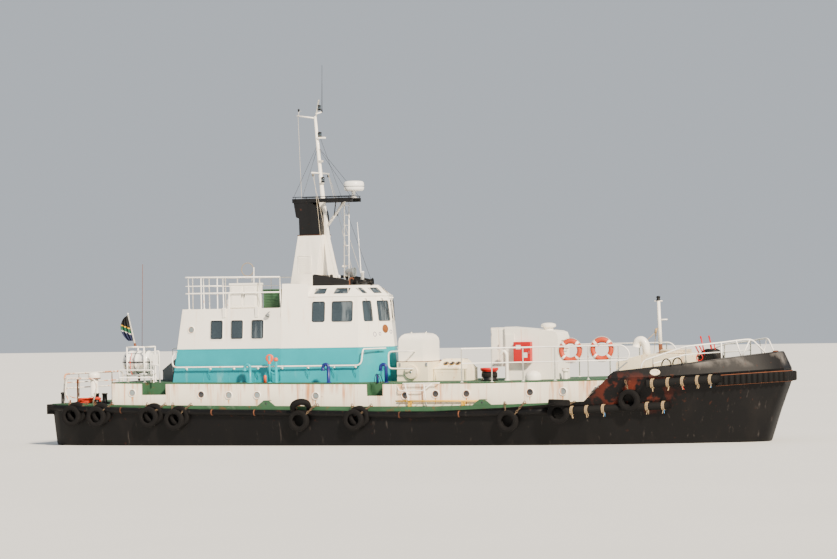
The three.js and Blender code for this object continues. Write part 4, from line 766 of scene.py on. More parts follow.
# Bow fender: scalloped ribs between steel edges, and the round arms aft of them
bowValues = {"pitch": 0.184, "height": 0.3, "drop": 0.39, "low": 0.07, "high": 0.172, "ends": 1.45}
armValues = {
    "aft": 8.4, "fore": 10.5, "low": 1.87, "reach": 1.95, "rise": 0.11, "off": 0.095, "radius": 0.13,
    "lashings": [(8.58, 0), (9.03, 0), (9.45, 2), (9.87, 0), (10.23, 1)]
}


def bowPath():
    xs = [9.0, 9.6, 10.35, 11, 11.5, 11.8, 12, 12.1]
    port = [vec(x, hullHalf(x, deckZ(x) - 0.22)) for x in xs]
    line = [vec(p.x, -p.y) for p in port] + port[::-1]
    lengths = [0.0]
    for a, b in zip(line, line[1:]):
        lengths.append(lengths[-1] + (b - a).length)

    def at(s):
        for (a, b), (s0, s1) in zip(zip(line, line[1:]), zip(lengths, lengths[1:])):
            if s <= s1:
                return a.lerp(b, (s - s0) / (s1 - s0))
        return line[-1]

    return at, lengths[-1]


bowAt, bowLength = bowPath()
ribs = Shape()
edges = Shape()
run = bowLength - 2 * bowValues["ends"]
ribCount = round(run / bowValues["pitch"])
steps = ribCount * 8
rings, highEdge, lowEdge = [], [], []
for i in range(steps + 1):
    s = bowValues["ends"] + run * i / steps
    p = bowAt(s)
    ahead, behind = bowAt(min(s + 0.06, bowLength)), bowAt(max(s - 0.06, 0))
    along = (ahead - behind).normalized()
    out = vec(along.y, -along.x)
    swell = abs(sin(pi * (i % 8) / 8)) ** 0.55
    far = bowValues["low"] + (bowValues["high"] - bowValues["low"]) * swell
    z = deckZ(min(p.x + 0.1, 12.1)) - bowValues["drop"]
    tall = bowValues["height"]
    section = [(-0.02, 0), (far * 0.8, 0), (far * 0.95, 0.012), (far, 0.04)]
    section += [(f, tall - h) for f, h in reversed(section)]
    rings.append([(p.x + out.x * f, p.y + out.y * f, z + h) for f, h in section])
    if i % 4 == 0:
        spot = (p.x + out.x * 0.045, p.y + out.y * 0.045)
        highEdge.append((*spot, z + (tall + 0.005)))
        lowEdge.append((*spot, z - 0.005))
ribs.rings(rings, 0, True)
edges.tube(highEdge, 0.017, 0, 8)
edges.tube(lowEdge, 0.015, 0, 8)
ribs.make("bow_fender_ribs", [rubber], "fender_rubber", replaces=["bow_fender"])
edges.make("bow_fender_edges", [rustySteel], "fender_rubber")


def armPoint(x, side):
    v = armValues
    z = v["low"] + ((x - v["aft"]) / v["reach"]) * v["rise"]
    return (x, side * (hullHalf(x, z) + v["off"]), z)


v = armValues
for name, side in sides.items():
    xs = [v["aft"] + (v["fore"] - v["aft"]) * k / 14 for k in range(15)]
    arm = Shape().tube([armPoint(x, side) for x in xs], v["radius"], 0, 20)
    arm.make("bow_arm_" + name, [rubber], "fender_rubber")
    ropes = Shape()
    for x, tint in v["lashings"]:
        addLashing(ropes, armPoint, x, side, v["radius"], 0.24, tint)
    ropes.make("bow_lashings_" + name, [brownRope, blueRope, orangeRope], "fender_rubber")

# Bulwark cap, stays, fairleads and the bow post
capValues = {"radius": 0.03, "stays": [7.9, 8.5, 9.1, 9.7, 10.3, 10.9]}


def headPoint(x, side):
    slope = (deckHalf(min(x + 0.04, 12.1)) - deckHalf(x - 0.04)) / 0.08
    out = vec(-slope, 1).normalized()
    lean = lineAt(bulwarkHead, x, 2) + 0.02
    return vec(x - out.x * lean, side * (deckHalf(x) - out.y * lean), lineAt(bulwarkHead, x))


bow = Shape()
capXs = [7.22, 7.41] + [7.6 + 0.3 * k for k in range(15)] + [11.95, 12.05]
capLine = [headPoint(x, -1) for x in capXs] + [headPoint(x, 1) for x in reversed(capXs)]
bow.tube(capLine, capValues["radius"], 0, 10)
stayFaces = [(0, 1, 2), (5, 4, 3), (0, 3, 4, 1), (1, 4, 5, 2), (2, 5, 3, 0)]
for side in (-1, 1):
    for x in capValues["stays"]:
        head = headPoint(x, side)
        foot = vec(x, side * (deckHalf(x) - 0.09), deckZ(x))
        thick = vec(0.008, 0, 0)
        inner = vec(x, side * (deckHalf(x) - 0.32), deckZ(x))
        top = head - vec(0, side * 0.05, 0.03)
        triangle = [foot, inner, top]
        bow.add([p - thick for p in triangle] + [p + thick for p in triangle], stayFaces)
bow.rod((11.72, 0, 2.2), (11.72, 0, 2.74), 0.07, 1, 16)
bow.lathe([(0, 2.74), (0.09, 2.74), (0.1, 2.76), (0.085, 2.8), (0, 2.81)], (11.72, 0, 0), 1, 16)
for side in (-1, 1):
    centre = vec(8.64, side * (hullHalf(8.64, 2.1) - 0.015), 2.215)
    loop = [centre + vec(0.135 * cos(t), 0, 0.07 * sin(t)) for t in wholeTurn(24)]
    bow.tube(loop, 0.032, 3, 10, closed=True)
    bow.prism([(p.x, p.z) for p in loop], centre.y - side * 0.01, centre.y + side * 0.02, 3)
    for x in (8.98, 9.3):
        head = headPoint(x, side)
        arch = [head + vec(0.15 * cos(t), 0, 0.02 + 0.2 * sin(t)) for t in halfTurn]
        bow.tube(arch, 0.022, 0, 8)
bow.make("bow_fittings", [blackPaint, rustySteel, railWhite, creamPaint], "hull_paint")

# Portholes along the trunk
portValues = {"radius": 0.105, "pale": (-9.12, -5.66, -4.66, -2.61, 5.72), "spots": [
    (-9.12, 1.71), (-6.64, 1.64), (-5.66, 1.61), (-4.66, 1.61), (-2.61, 1.57), (0.46, 1.57), (1.49, 1.61),
    (2.53, 1.61), (4.64, 1.64), (5.72, 1.66), (6.78, 1.68),
]}


def addPorthole(shape, centre, axis, radius, glassSlot=1):
    ring = [
        (radius, -0.01), (radius + 0.028, -0.01), (radius + 0.03, 0.012), (radius + 0.018, 0.022),
        (radius + 0.004, 0.02), (radius, 0.006)
    ]
    shape.ringLathe(ring, centre, 0, 32, axis)
    shape.lathe(
        [(radius + 0.002, -0.006), (radius + 0.002, 0.003), (0, 0.006)], centre, glassSlot, 32, axis,
        smooth=False
    )
    inner = [(radius - 0.012, 0.004), (radius, 0.012), (radius + 0.002, 0.004)]
    shape.ringLathe(inner, centre, 2, 32, axis)


ports = Shape()
for side in (-1, 1):
    for x, z in portValues["spots"]:
        y = 2.85 if x < 5.5 else 2.85 - 0.12 * (x - 5.5) / 1.65
        addPorthole(
            ports, (x, side * y, z), (0, side, 0), portValues["radius"], 3 if x in portValues["pale"] else 1
        )
        low = z - 0.12 - rng.uniform(0.16, 0.3)
        run = [
            (x - 0.022, z - 0.12), (x + 0.02, z - 0.12), (x + 0.014, (z + low) / 2), (x - 0.004, low),
            (x - 0.016, low + 0.05)
        ]
        ports.prism(run, side * (y - 0.002), side * (y + 0.0015), 2)
    wall = wallY(3.72)
    addPorthole(ports, (-7.36, side * wall, 3.72), (0, side, wallValues["lean"]), 0.1, 3)
ports.make("portholes", [railWhite, portGlass, rustRun, paleGlass])

# Vents and valve pipes on the side decks
ventValues = {"y": 2.42, "table": [
    # x, head z, hooked aft, radius, paint
    (-5.09, 2.63, 1, 0.05, 0), (-4.17, 2.72, 0, 0.044, 0), (-4.4, 2.88, 0, 0.036, 0),
    (-2.34, 2.62, 1, 0.055, 1), (-0.35, 2.6, 1, 0.055, 1),
]}
vents = Shape()
for side in (-1, 1):
    y = side * ventValues["y"]
    for x, head, hooked, radius, paint in ventValues["table"]:
        foot = trunkZ(x)
        vents.lathe(
            [(radius + 0.035, 0), (radius + 0.035, 0.015), (radius + 0.01, 0.02), (radius, 0.03)],
            (x, y, foot), paint, 20
        )
        if hooked:
            bend = [(x - 0.095 * (1 - cos(t)), y, head - 0.15 + 0.095 * sin(t)) for t in halfTurn]
            vents.tube([(x, y, foot), *bend, (x - 0.19, y, head - 0.23)], radius, paint, 16)
            vents.ringLathe(
                [(radius - 0.01, 0), (radius + 0.012, 0), (radius + 0.012, 0.03), (radius - 0.01, 0.03)],
                (x - 0.19, y, head - 0.23), paint, 20, (0, 0, -1)
            )
        else:
            vents.rod((x, y, foot), (x, y, head - 0.02), radius, paint, 16)
    cap = (-4.17, y, 2.72)
    vents.lathe([(0.055, -0.04), (0.066, -0.02), (0.066, 0.03), (0.045, 0.07), (0, 0.082)], cap, 2, 20)
    branch = (-4.17, y, 2.26)
    vents.tube([branch, (-4.3, y, 2.3), (-4.38, y, 2.36)], 0.025)
    wheel = vec(-4.4, y - side * 0.02, 2.78)
    vents.lathe(
        [(0, -0.03), (0.1, -0.032), (0.13, -0.015), (0.13, 0.02), (0.1, 0.036), (0.045, 0.02), (0, 0.026)],
        wheel, 2, 28, (0.12, side, 0.1)
    )
    vents.lathe([(0.05, -0.1), (0.05, -0.02), (0.03, 0)], (-4.4, y, 2.7), 2, 16)
    vents.lathe([(0.045, 0), (0.045, 0.2), (0.03, 0.24), (0, 0.25)], (-4.5, side * 2.55, trunkZ(-4.5)), 2, 16)
    vents.lathe([(0.04, 0), (0.04, 0.26), (0, 0.28)], (-0.62, side * 2.5, trunkZ(-0.62)), 1, 16)
vents.make("side_vents", [tealPaint, bluePaint, orangePaint])

# Triangular fairlead brackets and rope hoops on the gunwale
gunwale = Shape()
for side in (-1, 1):
    for x in (-4.22, 3.15):
        z = deckZ(x)
        outer, inner = side * (deckHalf(x) - 0.02), side * (deckHalf(x) - 0.22)
        outline = [(x - 0.34, z - 0.01), (x + 0.34, z - 0.01), (x + 0.1, z + 0.17), (x - 0.1, z + 0.17)]
        gunwale.prism(outline, outer, outer - side * 0.016)
        gunwale.prism(
            [(x - 0.1, z + 0.16), (x + 0.1, z + 0.16), (x + 0.1, z + 0.18), (x - 0.1, z + 0.18)], outer, inner
        )
        gunwale.lathe([(0, 0.012), (0.02, 0.012), (0.03, 0.0)], (x, outer, z + 0.08), 2, 20, (0, side, 0))
    for x in (-0.6, -0.52):
        foot = trunkZ(x)
        reach = side * 2.78
        hoop = [
            (x - 0.02, reach, foot), (x + 0.03, reach, foot + 0.26), (x + 0.09, reach, foot + 0.3),
            (x + 0.17, reach + side * 0.02, foot + 0.18), (x + 0.24, reach + side * 0.04, foot - 0.02)
        ]
        gunwale.bent(hoop, 0.05, 3, 0.011, 3, 8)
gunwale.make("gunwale_fittings", [deckGreen, deckGreen, clothBlack, tarredRope], "hull_paint", bevel=0.004)
print("hull side dressed")


# Window frames: four corners in a wall's own plane, turned into a frame that stands on the wall and
# lines the opening
def roundLoop(corners, radius, steps=5):
    loop = []
    count = len(corners)
    for i, corner in enumerate(corners):
        corner, before, after = Vector(corner), Vector(corners[i - 1]), Vector(corners[(i + 1) % count])
        a = corner + (before - corner).normalized() * radius
        b = corner + (after - corner).normalized() * radius
        loop += [
            a * (1 - t) ** 2 + corner * 2 * t * (1 - t) + b * t * t
            for t in [k / steps for k in range(steps + 1)]
        ]
    return loop


def addFrame(corners, onWall, out, radius=0.07, edge=0.035, proud=0.014):
    middle = sum((Vector(c) for c in corners), vec(0, 0)) / len(corners)
    inner = roundLoop(corners, radius)
    outer = [p + (p - middle).normalized() * edge * 1.3 for p in roundLoop(corners, radius)]
    out = Vector(out).normalized()

    def ring(loop, lift):
        return [onWall(*p) + out * lift for p in loop]

    lip = [a.lerp(b, 0.3) for a, b in zip(outer, inner)]
    section = [
        ring(outer, -0.01), ring(outer, proud * 0.6), ring(lip, proud), ring(inner, proud), ring(inner, -0.03)
    ]
    frames.rings(section, 0, False, caps=False)
    frames.tube([onWall(*p) + out * (proud - 0.004) for p in inner], 0.009, 1, 8, closed=True)
    glass.rings([ring(inner, -0.022), ring(inner, -0.012)], 0, False)


def quad(x0, x1, z0, z1, lean0=0.0, lean1=0.0):
    return [(x0, z0), (x1, z0), (x1 + lean1, z1), (x0 + lean0, z1)]


# The wheelhouse's facets at a height: corner, knuckle and stem, as in its own levels, and its toed in sides
wheelLevels = [
    (1.9, -1.565, 1.76, -1.185, 0.8, -0.9), (4.73, -1.702, 1.46, -1.468, 0.75, -1.235),
    (5.08, -2.014, 1.06, -1.8, 0.55, -1.6)
]
wheelValues = {"split": -4.15, "brow": -3.3, "browLow": 4.73, "browHigh": 5.08, "roofHalf": 1.43}


def mixed(low, high, part):
    return low + (high - low) * part


def wheelAt(z):
    low, high = wheelLevels[:2] if z <= wheelValues["browLow"] else wheelLevels[1:]
    part = (z - low[0]) / (high[0] - low[0])
    return [mixed(a, b, part) for a, b in zip(low[1:], high[1:])]


def sideHalf(x, z):
    cornerX, cornerY = wheelAt(z)[:2]
    along = max(0.0, (x - wheelValues["split"]) / (cornerX - wheelValues["split"]))
    return wallY(z) + (cornerY - wallY(z)) * along


def facetPoint(y, z, side):
    cornerX, cornerY, knuckleX, knuckleY, stemX = wheelAt(z)
    if y >= knuckleY:
        x = knuckleX + (cornerX - knuckleX) * (y - knuckleY) / (cornerY - knuckleY)
    else:
        x = stemX + (knuckleX - stemX) * y / knuckleY
    return vec(x, side * y, z)


def browPoint(x, z, side):
    cornerX, cornerY = wheelAt(z)[:2]
    part = (z - wheelValues["browLow"]) / (wheelValues["browHigh"] - wheelValues["browLow"])
    aft = mixed(sideHalf(wheelValues["brow"], wheelValues["browLow"]), wheelValues["roofHalf"], part)
    along = (x - wheelValues["brow"]) / (cornerX - wheelValues["brow"])
    return vec(x, side * mixed(aft, cornerY, along), z)


# The way a wall faces at three spots in its own plane, turned to the side that axis and sign name
def outward(spot, a, b, c, axis):
    a, b, c = spot(*a), spot(*b), spot(*c)
    out = (b - a).cross(c - a).normalized()
    return out if out[axis[0]] * axis[1] > 0 else -out


windowValues = {
    "cabin": [(-6.67, -6.22), (-5.94, -5.5), (-5.21, -4.77)], "side": [(-3.17, -2.73), (-2.53, -1.83)],
    "front": [(0.865, 1.304), (0.06, 0.633)], "cabinZ": (3.412, 4.008), "sideZ": (3.912, 4.568),
    "browZ": (4.808, 4.984), "browSide": [(-3.15, -2.77, 0.08, 0.02), (-2.52, -2.04, 0.03, -0.09)],
    "browFront": [(0.88, 1.11), (0.19, 0.6)], "rim": 0.012,
}
frames, glass = Shape(), Shape()
for side in (-1, 1):
    r = windowValues["rim"]
    wall = lambda x, z: vec(x, side * wallY(z), z)
    for x0, x1 in windowValues["cabin"]:
        addFrame(quad(x0 + r, x1 - r, *windowValues["cabinZ"]), wall, (0, side, wallValues["lean"]), 0.06)
    toed = lambda x, z: vec(x, side * sideHalf(x, z), z)
    for x0, x1 in windowValues["side"]:
        addFrame(
            quad(x0 + r, x1 - r, *windowValues["sideZ"]), toed,
            outward(toed, (x0, 4), (x1, 4), (x0, 4.5), (1, side)), 0.07
        )
    spot = lambda y, z: facetPoint(y, z, side)
    for y0, y1 in windowValues["front"]:
        out = outward(spot, (y0, 4), (y1, 4), (y0, 4.5), (0, 1))
        addFrame(quad(y0 + r, y1 - r, *windowValues["sideZ"]), spot, out, 0.06, proud=0.016)
    for y0, y1 in windowValues["browFront"]:
        out = outward(spot, (y0, 4.8), (y1, 4.8), (y0, 4.98), (0, 1))
        addFrame(quad(y0 + r, y1 - r, *windowValues["browZ"], -0.02, -0.06), spot, out, 0.03, 0.02, 0.012)
    brow = lambda x, z: browPoint(x, z, side)
    for x0, x1, lean0, lean1 in windowValues["browSide"]:
        out = outward(brow, (x0, 4.8), (x1, 4.8), (x0, 4.98), (2, 1))
        addFrame(quad(x0 + r, x1 - r, *windowValues["browZ"], lean0, lean1), brow, out, 0.03, 0.02, 0.012)
aftWall = lambda y, z: vec(aftWallX(z), y, z)
addFrame(
    [(-1.34, 3.41), (-0.76, 3.41), (-0.76, 3.89), (-1.34, 3.89)], aftWall, (-1, 0, wallValues["aftLean"]),
    0.05
)
frames.make("window_frames", [houseWhite, clothBlack])
glass.make("window_glass", [paneGlass], "pane_glass", replaces=["deckhouse_panes", "wheelhouse_panes"])

# Brow lip, wipers, the weld along the facets' foot, rivets, the bare crest and roundels
trimValues = {"rivets": 56, "aft": -7.85, "pitch": 0.112, "rivetZ": 2.33, "lipZ": 4.735}
trim = Shape()
for side in (-1, 1):
    lipZ = trimValues["lipZ"]
    lip = [vec(-3.28, side * sideHalf(-3.28, 4.73), lipZ)]
    lip += [facetPoint(y, lipZ, side) for y in (1.45, 1.1, 0.75, 0.35, 0.0)]
    trim.tube([p + vec(0.012 if i else 0, side * 0.008, 0) for i, p in enumerate(lip)], 0.017, 0, 10)
    for y0 in (1.12, 0.36):
        pivot = facetPoint(y0, 4.66, side) + vec(0.035, side * 0.01, 0)
        tip = facetPoint(y0 - 0.16, 4.14, side) + vec(0.035, side * 0.01, 0)
        trim.rod(pivot - vec(0.03, 0, 0), pivot + vec(0.01, 0, 0), 0.028)
        trim.tube([pivot, pivot.lerp(tip, 0.5) + vec(0.012, 0, 0), tip], 0.008, 1, 8)
        trim.rod(tip + vec(0, side * -0.03, 0.16), tip + vec(0, side * 0.03, -0.16), 0.009, 1, 8)
    for k in range(trimValues["rivets"]):
        x, z = trimValues["aft"] + k * trimValues["pitch"], trimValues["rivetZ"]
        trim.lathe(
            [(0.013, 0), (0.011, 0.007), (0, 0.009)], (x, side * sideHalf(x, z), z), 2, 8, (0, side, 0)
        )
    seam = [(x, side * (wallY(3.09) + 0.003), 3.09) for x in (-7.84, -4.2)]
    trim.tube(seam, 0.006, 2, 6)
    for x in (-6.9, -5.98, -5.05, -4.15, -3.2, -2.3):
        high, low = side * (sideHalf(x, 2.33) + 0.001), side * (sideHalf(x, 2.0) + 0.001)
        trim.tube([(x, high, 2.33), (x + 0.012, low, 2.02)], 0.006, 2, 6)
    for z0 in (4.66, 2.62):
        high, low = side * (wallY(z0) + 0.001), side * (wallY(z0 - 0.9) + 0.001)
        trim.tube([(-4.15, high, z0), (-4.15, low, z0 - 0.55)], 0.007, 0 if z0 > 3 else 2, 6)
    lampSpot = vec(-4.62, side * (wallY(4.15) + 0.05), 4.15)
    trim.tube(
        [lampSpot + vec(0.05, -side * 0.06, 0.12), lampSpot + vec(0.03, side * 0.03, 0.1), lampSpot], 0.012,
        3, 8
    )
    trim.lathe(
        [(0, -0.06), (0.05, -0.055), (0.075, 0.02), (0.075, 0.035), (0, 0.03)], lampSpot, 3, 20,
        (-0.3, side * 0.5, -1)
    )
crestPoint = facetPoint(0.36, 3.66, -1) + vec(0.008, 0, 0)
crestSpot = lambda y, z: facetPoint(y, z, -1)
crestOut = outward(crestSpot, (0.1, 3.5), (0.6, 3.5), (0.1, 3.9), (0, 1))
trim.lathe(
    [(0, 0.022), (0.09, 0.02), (0.1, 0.014), (0.11, 0.02), (0.135, 0.018), (0.14, 0)], crestPoint, 4, 28,
    crestOut
)
for y, z, size in ((0.86, 3.49, 0.07), (0.62, 3.5, 0.05), (0.1, 3.56, 0.055)):
    out = outward(crestSpot, (y, z), (y + 0.05, z), (y, z + 0.1), (0, 1))
    ring = [(size - 0.008, 0.0), (size + 0.008, 0.0), (size + 0.007, 0.008), (size - 0.007, 0.008)]
    trim.ringLathe(ring, crestSpot(y, z), 5, 24, out)
trim.make("wheelhouse_trim", [houseWhite, clothBlack, tealPaint, greyPaint, crestBrown, bluePaint])
print("windows framed")

# Handrail round the houses: the same route as the CAD rail, with brackets, pads and hanging chains
railValues = {"bar": 0.025, "bracket": 0.013, "off": 0.13, "low": 2.51, "high": 3.03}


def makeHouseRail(name, side):
    off, z0, high = railValues["off"], railValues["low"], railValues["high"]
    y = side * (wallY(z0) + off)
    at = lambda x: (x, side * (sideHalf(x, z0) + off), z0)
    points = [
        (-7.8, side * (wallY(high) + off), high), (-7.96, y, 2.86), (-7.94, y, z0), at(-4.15), at(-1.47),
        (-1.43, side * 1.745, high - 0.06), (-1.42, side * 1.69, high), (-1.17, side * 0.84, high),
        (-1.09, side * 0.64, high),
    ]
    bar = Shape()
    bar.bent(points, 0.18, 6, railValues["bar"], 0, 14)
    for k, x in enumerate((-7.5, -6.65, -5.8, -4.95, -4.1, -3.25, -2.4, -1.7)):
        foot = (x, side * sideHalf(x, z0 - 0.06), z0 - 0.06)
        head = Vector(at(x))
        bar.tube([head, head - vec(0, side * 0.02, 0.05), foot], railValues["bracket"], 0, 10)
        bar.lathe([(0.04, 0), (0.038, 0.008), (0, 0.01)], foot, 0, 14, (0, side, 0))
        if k % 2 == 1 or k == 6:
            hang = head - vec(0, side * 0.01, 0.04)
            loop = [
                hang, hang + vec(-0.05, -side * 0.05, -0.2), hang + vec(0.01, -side * 0.07, -0.38),
                hang + vec(0.04, -side * 0.05, -0.2), hang
            ]
            bar.bent(loop, 0.06, 4, 0.006, 1, 6)
    for x0, y0, x1, y1 in ((-1.175, 0.85, -1.3, 0.815), (-1.36, 1.48, -1.53, 1.38)):
        bar.tube([(x0, side * y0, high), (x1, side * y1, high - 0.02)], railValues["bracket"], 0, 10)
    bar.make("handrail_" + name, [railWhite, tealPaint], replaces=["house_rail_" + name])


for name, side in sides.items():
    makeHouseRail(name, side)

# Upper deck: rail, ring hoop, locker with its boards, ventilator
upperValues = {
    "deck": 4.39, "head": 5.39, "half": 1.88, "aft": -7.65, "forward": -4.23, "bar": 0.022, "post": 0.019
}
upper = Shape()
u = upperValues
deck, head, half, aftX, foreX = u["deck"], u["head"], u["half"], u["aft"], u["forward"]
for h, lift in ((head, 0.04), (4.9, 0)):
    corners = [(foreX, -1, h), (aftX, -1, h + lift), (aftX, 1, h + lift), (foreX, 1, h)]
    upper.bent([(x, side * half, z) for x, side, z in corners], 0.16, 6, u["bar"])
corners = [(foreX, 1), (aftX, 1), (aftX, -1), (-6.3, -1)]
upper.bent([(x, side * half, 5.14) for x, side in corners], 0.16, 6, 0.015)
for x in (-7.5, -6.96, -6.26, -4.95, -4.23):
    for side in (-1, 1):
        upper.tube([(x + 0.02, side * half, deck), (x, side * half, head + 0.01)], u["post"])
        upper.lathe([(0.05, 0), (0.05, 0.01), (0.022, 0.014)], (x + 0.02, side * half, deck), 0, 16)
for y in (-1.25, -0.62, 0, 0.62, 1.25):
    upper.tube([(aftX, y, deck), (aftX, y, head + 0.03)], u["post"])
hoopAt = vec(-6.45, 0.9, 0)
upper.tube([hoopAt + vec(0, 0, deck), hoopAt + vec(0.02, 0, 5.75)], 0.016, 0, 10)
loop = [hoopAt + vec(-0.21 + 0.22 * cos(t), 0, 5.68 + 0.22 * sin(t)) for t in wholeTurn(28)]
upper.tube(loop, 0.012, 1, 8, closed=True)
upper.lathe([(0.09, 0), (0.09, 0.25), (0.075, 0.3), (0.05, 0.34), (0, 0.35)], (-6.72, -0.4, deck), 0, 20)
upper.bent(
    [(-7.05, 0.3, deck), (-7.05, 0.3, 4.85), (-6.95, 0.3, 4.98), (-6.86, 0.3, 4.9)], 0.1, 5, 0.06, 0, 16
)
upper.make("upper_deck_rail", [railWhite, brownRope], replaces=["upper_rail"])

locker = Shape()
locker.box(-6.04, -5.08, -1.82, -1.38, deck, 5.18)
locker.box(-6.06, -5.06, -1.84, -1.36, 5.15, 5.21)
for x0, x1 in ((-6.0, -5.58), (-5.54, -5.12)):
    locker.box(x0, x1, -1.832, -1.82, 4.47, 5.12)
    locker.box(x0 + 0.03, x1 - 0.03, -1.838, -1.83, 4.5, 5.09)
locker.box(-6.1, -5.02, -1.86, -1.8, 4.42, 4.47)
for x in (-5.6, -5.52):
    locker.rod((x, -1.845, 4.75), (x, -1.845, 4.85), 0.012, 1, 8)
locker.make("upper_locker_body", [houseWhite, darkSteel], bevel=0.008, replaces=["upper_locker"])
boards = Shape()
for x in (-6.18, -5.02):
    y, top, foot = -wallY(4.25), 4.42, 4.1
    outline = [(x - 0.06, foot), (x + 0.05, foot + 0.01), (x + 0.06, top), (x - 0.06, top)]
    boards.prism(outline, y - 0.035, y - 0.015)
boards.make("upper_deck_brackets", [houseWhite], bevel=0.006)
box = Shape()
box.box(-5.0, -4.3, -1.5, -0.7, deck, 4.96)
box.box(-5.02, -4.28, -1.52, -0.68, 4.955, 5.0)
for k in range(5):
    z = 4.5 + k * 0.085
    box.box(-4.94, -4.36, -1.515, -1.49, z, z + 0.045)
box.make("ventilator_body", [deckGreen], "green_paint", bevel=0.008, replaces=["ventilator_box"])
print("upper deck dressed")

# Funnel, its top and the platform
painted("funnel_casing", "funnel_casing_body", [houseWhite], "white_paint", bevel=0.02)
painted("funnel_top", "funnel_top_body", [blackPaint], "black_paint", bevel=0.012)
funnel = Shape()
for side in (-1, 1):
    for k in range(7):
        z = 5.55 + k * 0.07
        y = side * (0.43 - (z - 5.16) * 0.0316)
        funnel.box(-4.2, -3.8, y - side * 0.02, y + side * 0.012, z, z + 0.04)
    frameY = side * 0.42
    funnel.tube(
        [
            (-4.23, frameY, 5.5), (-3.77, frameY, 5.5), (-3.77, frameY - side * 0.015, 6.06),
            (-4.23, frameY - side * 0.015, 6.06)
        ],
        0.012, 0, 8, closed=True
    )
    funnel.tube([(-4.25, side * 0.382, 6.74), (-3.39, side * 0.382, 6.74)], 0.014, 1, 8)
    for x in (-4.3, -3.9, -3.2, -2.75, -2.36):
        funnel.tube([(x, side * 0.39, 7.86), (x, side * 0.39, 7.99)], 0.01, 2, 8)
    funnel.tube([(-4.4, side * 0.39, 7.985), (-2.32, side * 0.39, 7.985)], 0.012, 2, 8)
for y in (-0.16, 0.16):
    funnel.bent([(-4.1, y, 7.5), (-4.12, y, 7.72), (-4.36, y, 7.8)], 0.15, 5, 0.085, 3, 18)
funnel.tube([(-2.33, -0.38, 7.985), (-2.33, 0.38, 7.985)], 0.012, 2, 8)
for y in (-0.28, 0.28):
    funnel.rod((-3.05, y * 0.4, 7.35), (-2.9, y, 7.9), 0.018, 2, 10)
funnel.make("funnel_details", [houseWhite, rustySteel, blackPaint, darkSteel], "black_paint")

# Mast with its lanterns, yard, whip aerial, stays and halyards
mastValues = {"stay": 0.006, "halyard": 0.0045}
mast = Shape()
mast.prism(
    [
        (-3.285, 5.16), (-2.94, 5.081), (-2.93, 5.081), (-3.29, 6.64), (-3.44, 7.89), (-3.6, 7.89),
        (-3.45, 6.64), (-3.29, 5.162)
    ],
    -0.07, 0.07
)
mast.rod((-3.4, 0, 6.96), (-2.69, 0, 7.86), 0.045, 0, 16)
mast.tube([(-3.48, 0, 7.8), (-3.6, 0, 9.2), (-3.715, 0, 10.62)], [0.075, 0.06, 0.045], 0, 24)
mast.rod((-3.7, 0, 10.56), (-4.37, 0, 10.665), 0.026, 0, 14, 0.02)
mast.rod((-3.56, -0.7, 8.76), (-3.56, 0.7, 8.76), 0.024, 0, 14)
mast.rod((-3.7, 0, 10.56), (-3.57, 0, 11.16), 0.024, 0, 14)
mast.rod((-3.69, 0, 10.7), (-3.46, 0, 10.76), 0.02)
mast.box(-3.62, -3.38, -0.08, 0.08, 9.89, 9.94)
for x, z in ((-3.54, 9.15), (-3.52, 8.42)):
    mast.lathe([(0.085, -0.03), (0.085, 0.03)], (x, 0, z), 0, 20, (0.08, 0, -1))
for x, z, r in ((-3.49, 8.55, 0.075), (-3.56, 10.02, 0.07), (-3.56, 10.9, 0.06)):
    mast.lathe([(0, -0.09), (r, -0.09), (r, -0.055)], (x, 0, z), 1, 20)
    mast.lathe([(r * 0.82, -0.055), (r * 0.9, -0.02), (r * 0.9, 0.02), (r * 0.82, 0.045)], (x, 0, z), 2, 20)
    mast.lathe([(r, 0.045), (r, 0.06), (r * 0.5, 0.09), (0, 0.092)], (x, 0, z), 1, 20)
mast.tube([(-3.47, 0, 10.74), (-3.455, 0, 11.5), (-3.44, 0, 12.28)], [0.013, 0.009, 0.006], 3, 10)
mast.lathe([(0.02, 0), (0.024, 0.05), (0.013, 0.12)], (-3.47, 0, 10.74), 1, 14, (0.01, 0, 1))
mast.tube([(-4.3, 0, 10.65), (-4.3, 0, 10.78), (-4.22, 0, 10.82)], 0.009, 0, 8)
mast.lathe([(0, -0.05), (0.03, -0.04), (0.03, 0.04), (0, 0.05)], (-4.3, 0, 10.84), 1, 14)
for y in (-0.62, 0.62):
    mast.lathe([(0, -0.045), (0.03, -0.035), (0.03, 0.035), (0, 0.045)], (-3.56, y, 8.68), 1, 14)
mast.make("mast_body", [houseWhite, blackPaint, paneGlass, darkSteel], replaces=["mast"])
lines = Shape()
stay, halyard = mastValues["stay"], mastValues["halyard"]
for side in (1, -1):
    lines.rod((-3.62, side * 0.03, 9.6), (-2.32, side * 0.36, 7.93), stay, 0, 6)
lines.rod((-3.65, 0, 10.2), (-1.76, -0.05, 5.1), stay, 0, 6)
for side in (-1, 1):
    lines.rod((-3.63, side * 0.03, 9.7), (-4.4, side * 0.36, 7.93), stay, 0, 6)
    lines.rod((-3.56, side * 0.66, 8.74), (-2.6, side * 1.1, 5.3), halyard, 1, 6)
    lines.rod((-3.54, side * 0.58, 8.74), (-2.95, side * 1.2, 5.36), halyard, 1, 6)
lines.rod((-4.33, 0.01, 10.64), (-4.38, 0.3, 7.93), halyard, 1, 6)
lines.make("mast_lines", [darkSteel, whiteRope])
ladder = Shape()
for y in (0.21, 0.59):
    ladder.rod((-2.87, y, 5.081), (-2.82, y, 7.79), 0.018)
for k in range(8):
    z = 5.4 + 0.33 * k
    ladder.rod((-2.87 + (z - 5.08) * 0.0185, 0.21, z), (-2.87 + (z - 5.08) * 0.0185, 0.59, z), 0.012, 0, 10)
ladder.make("mast_ladder_rails", [railWhite], replaces=["mast_ladder"])
dome = Shape()
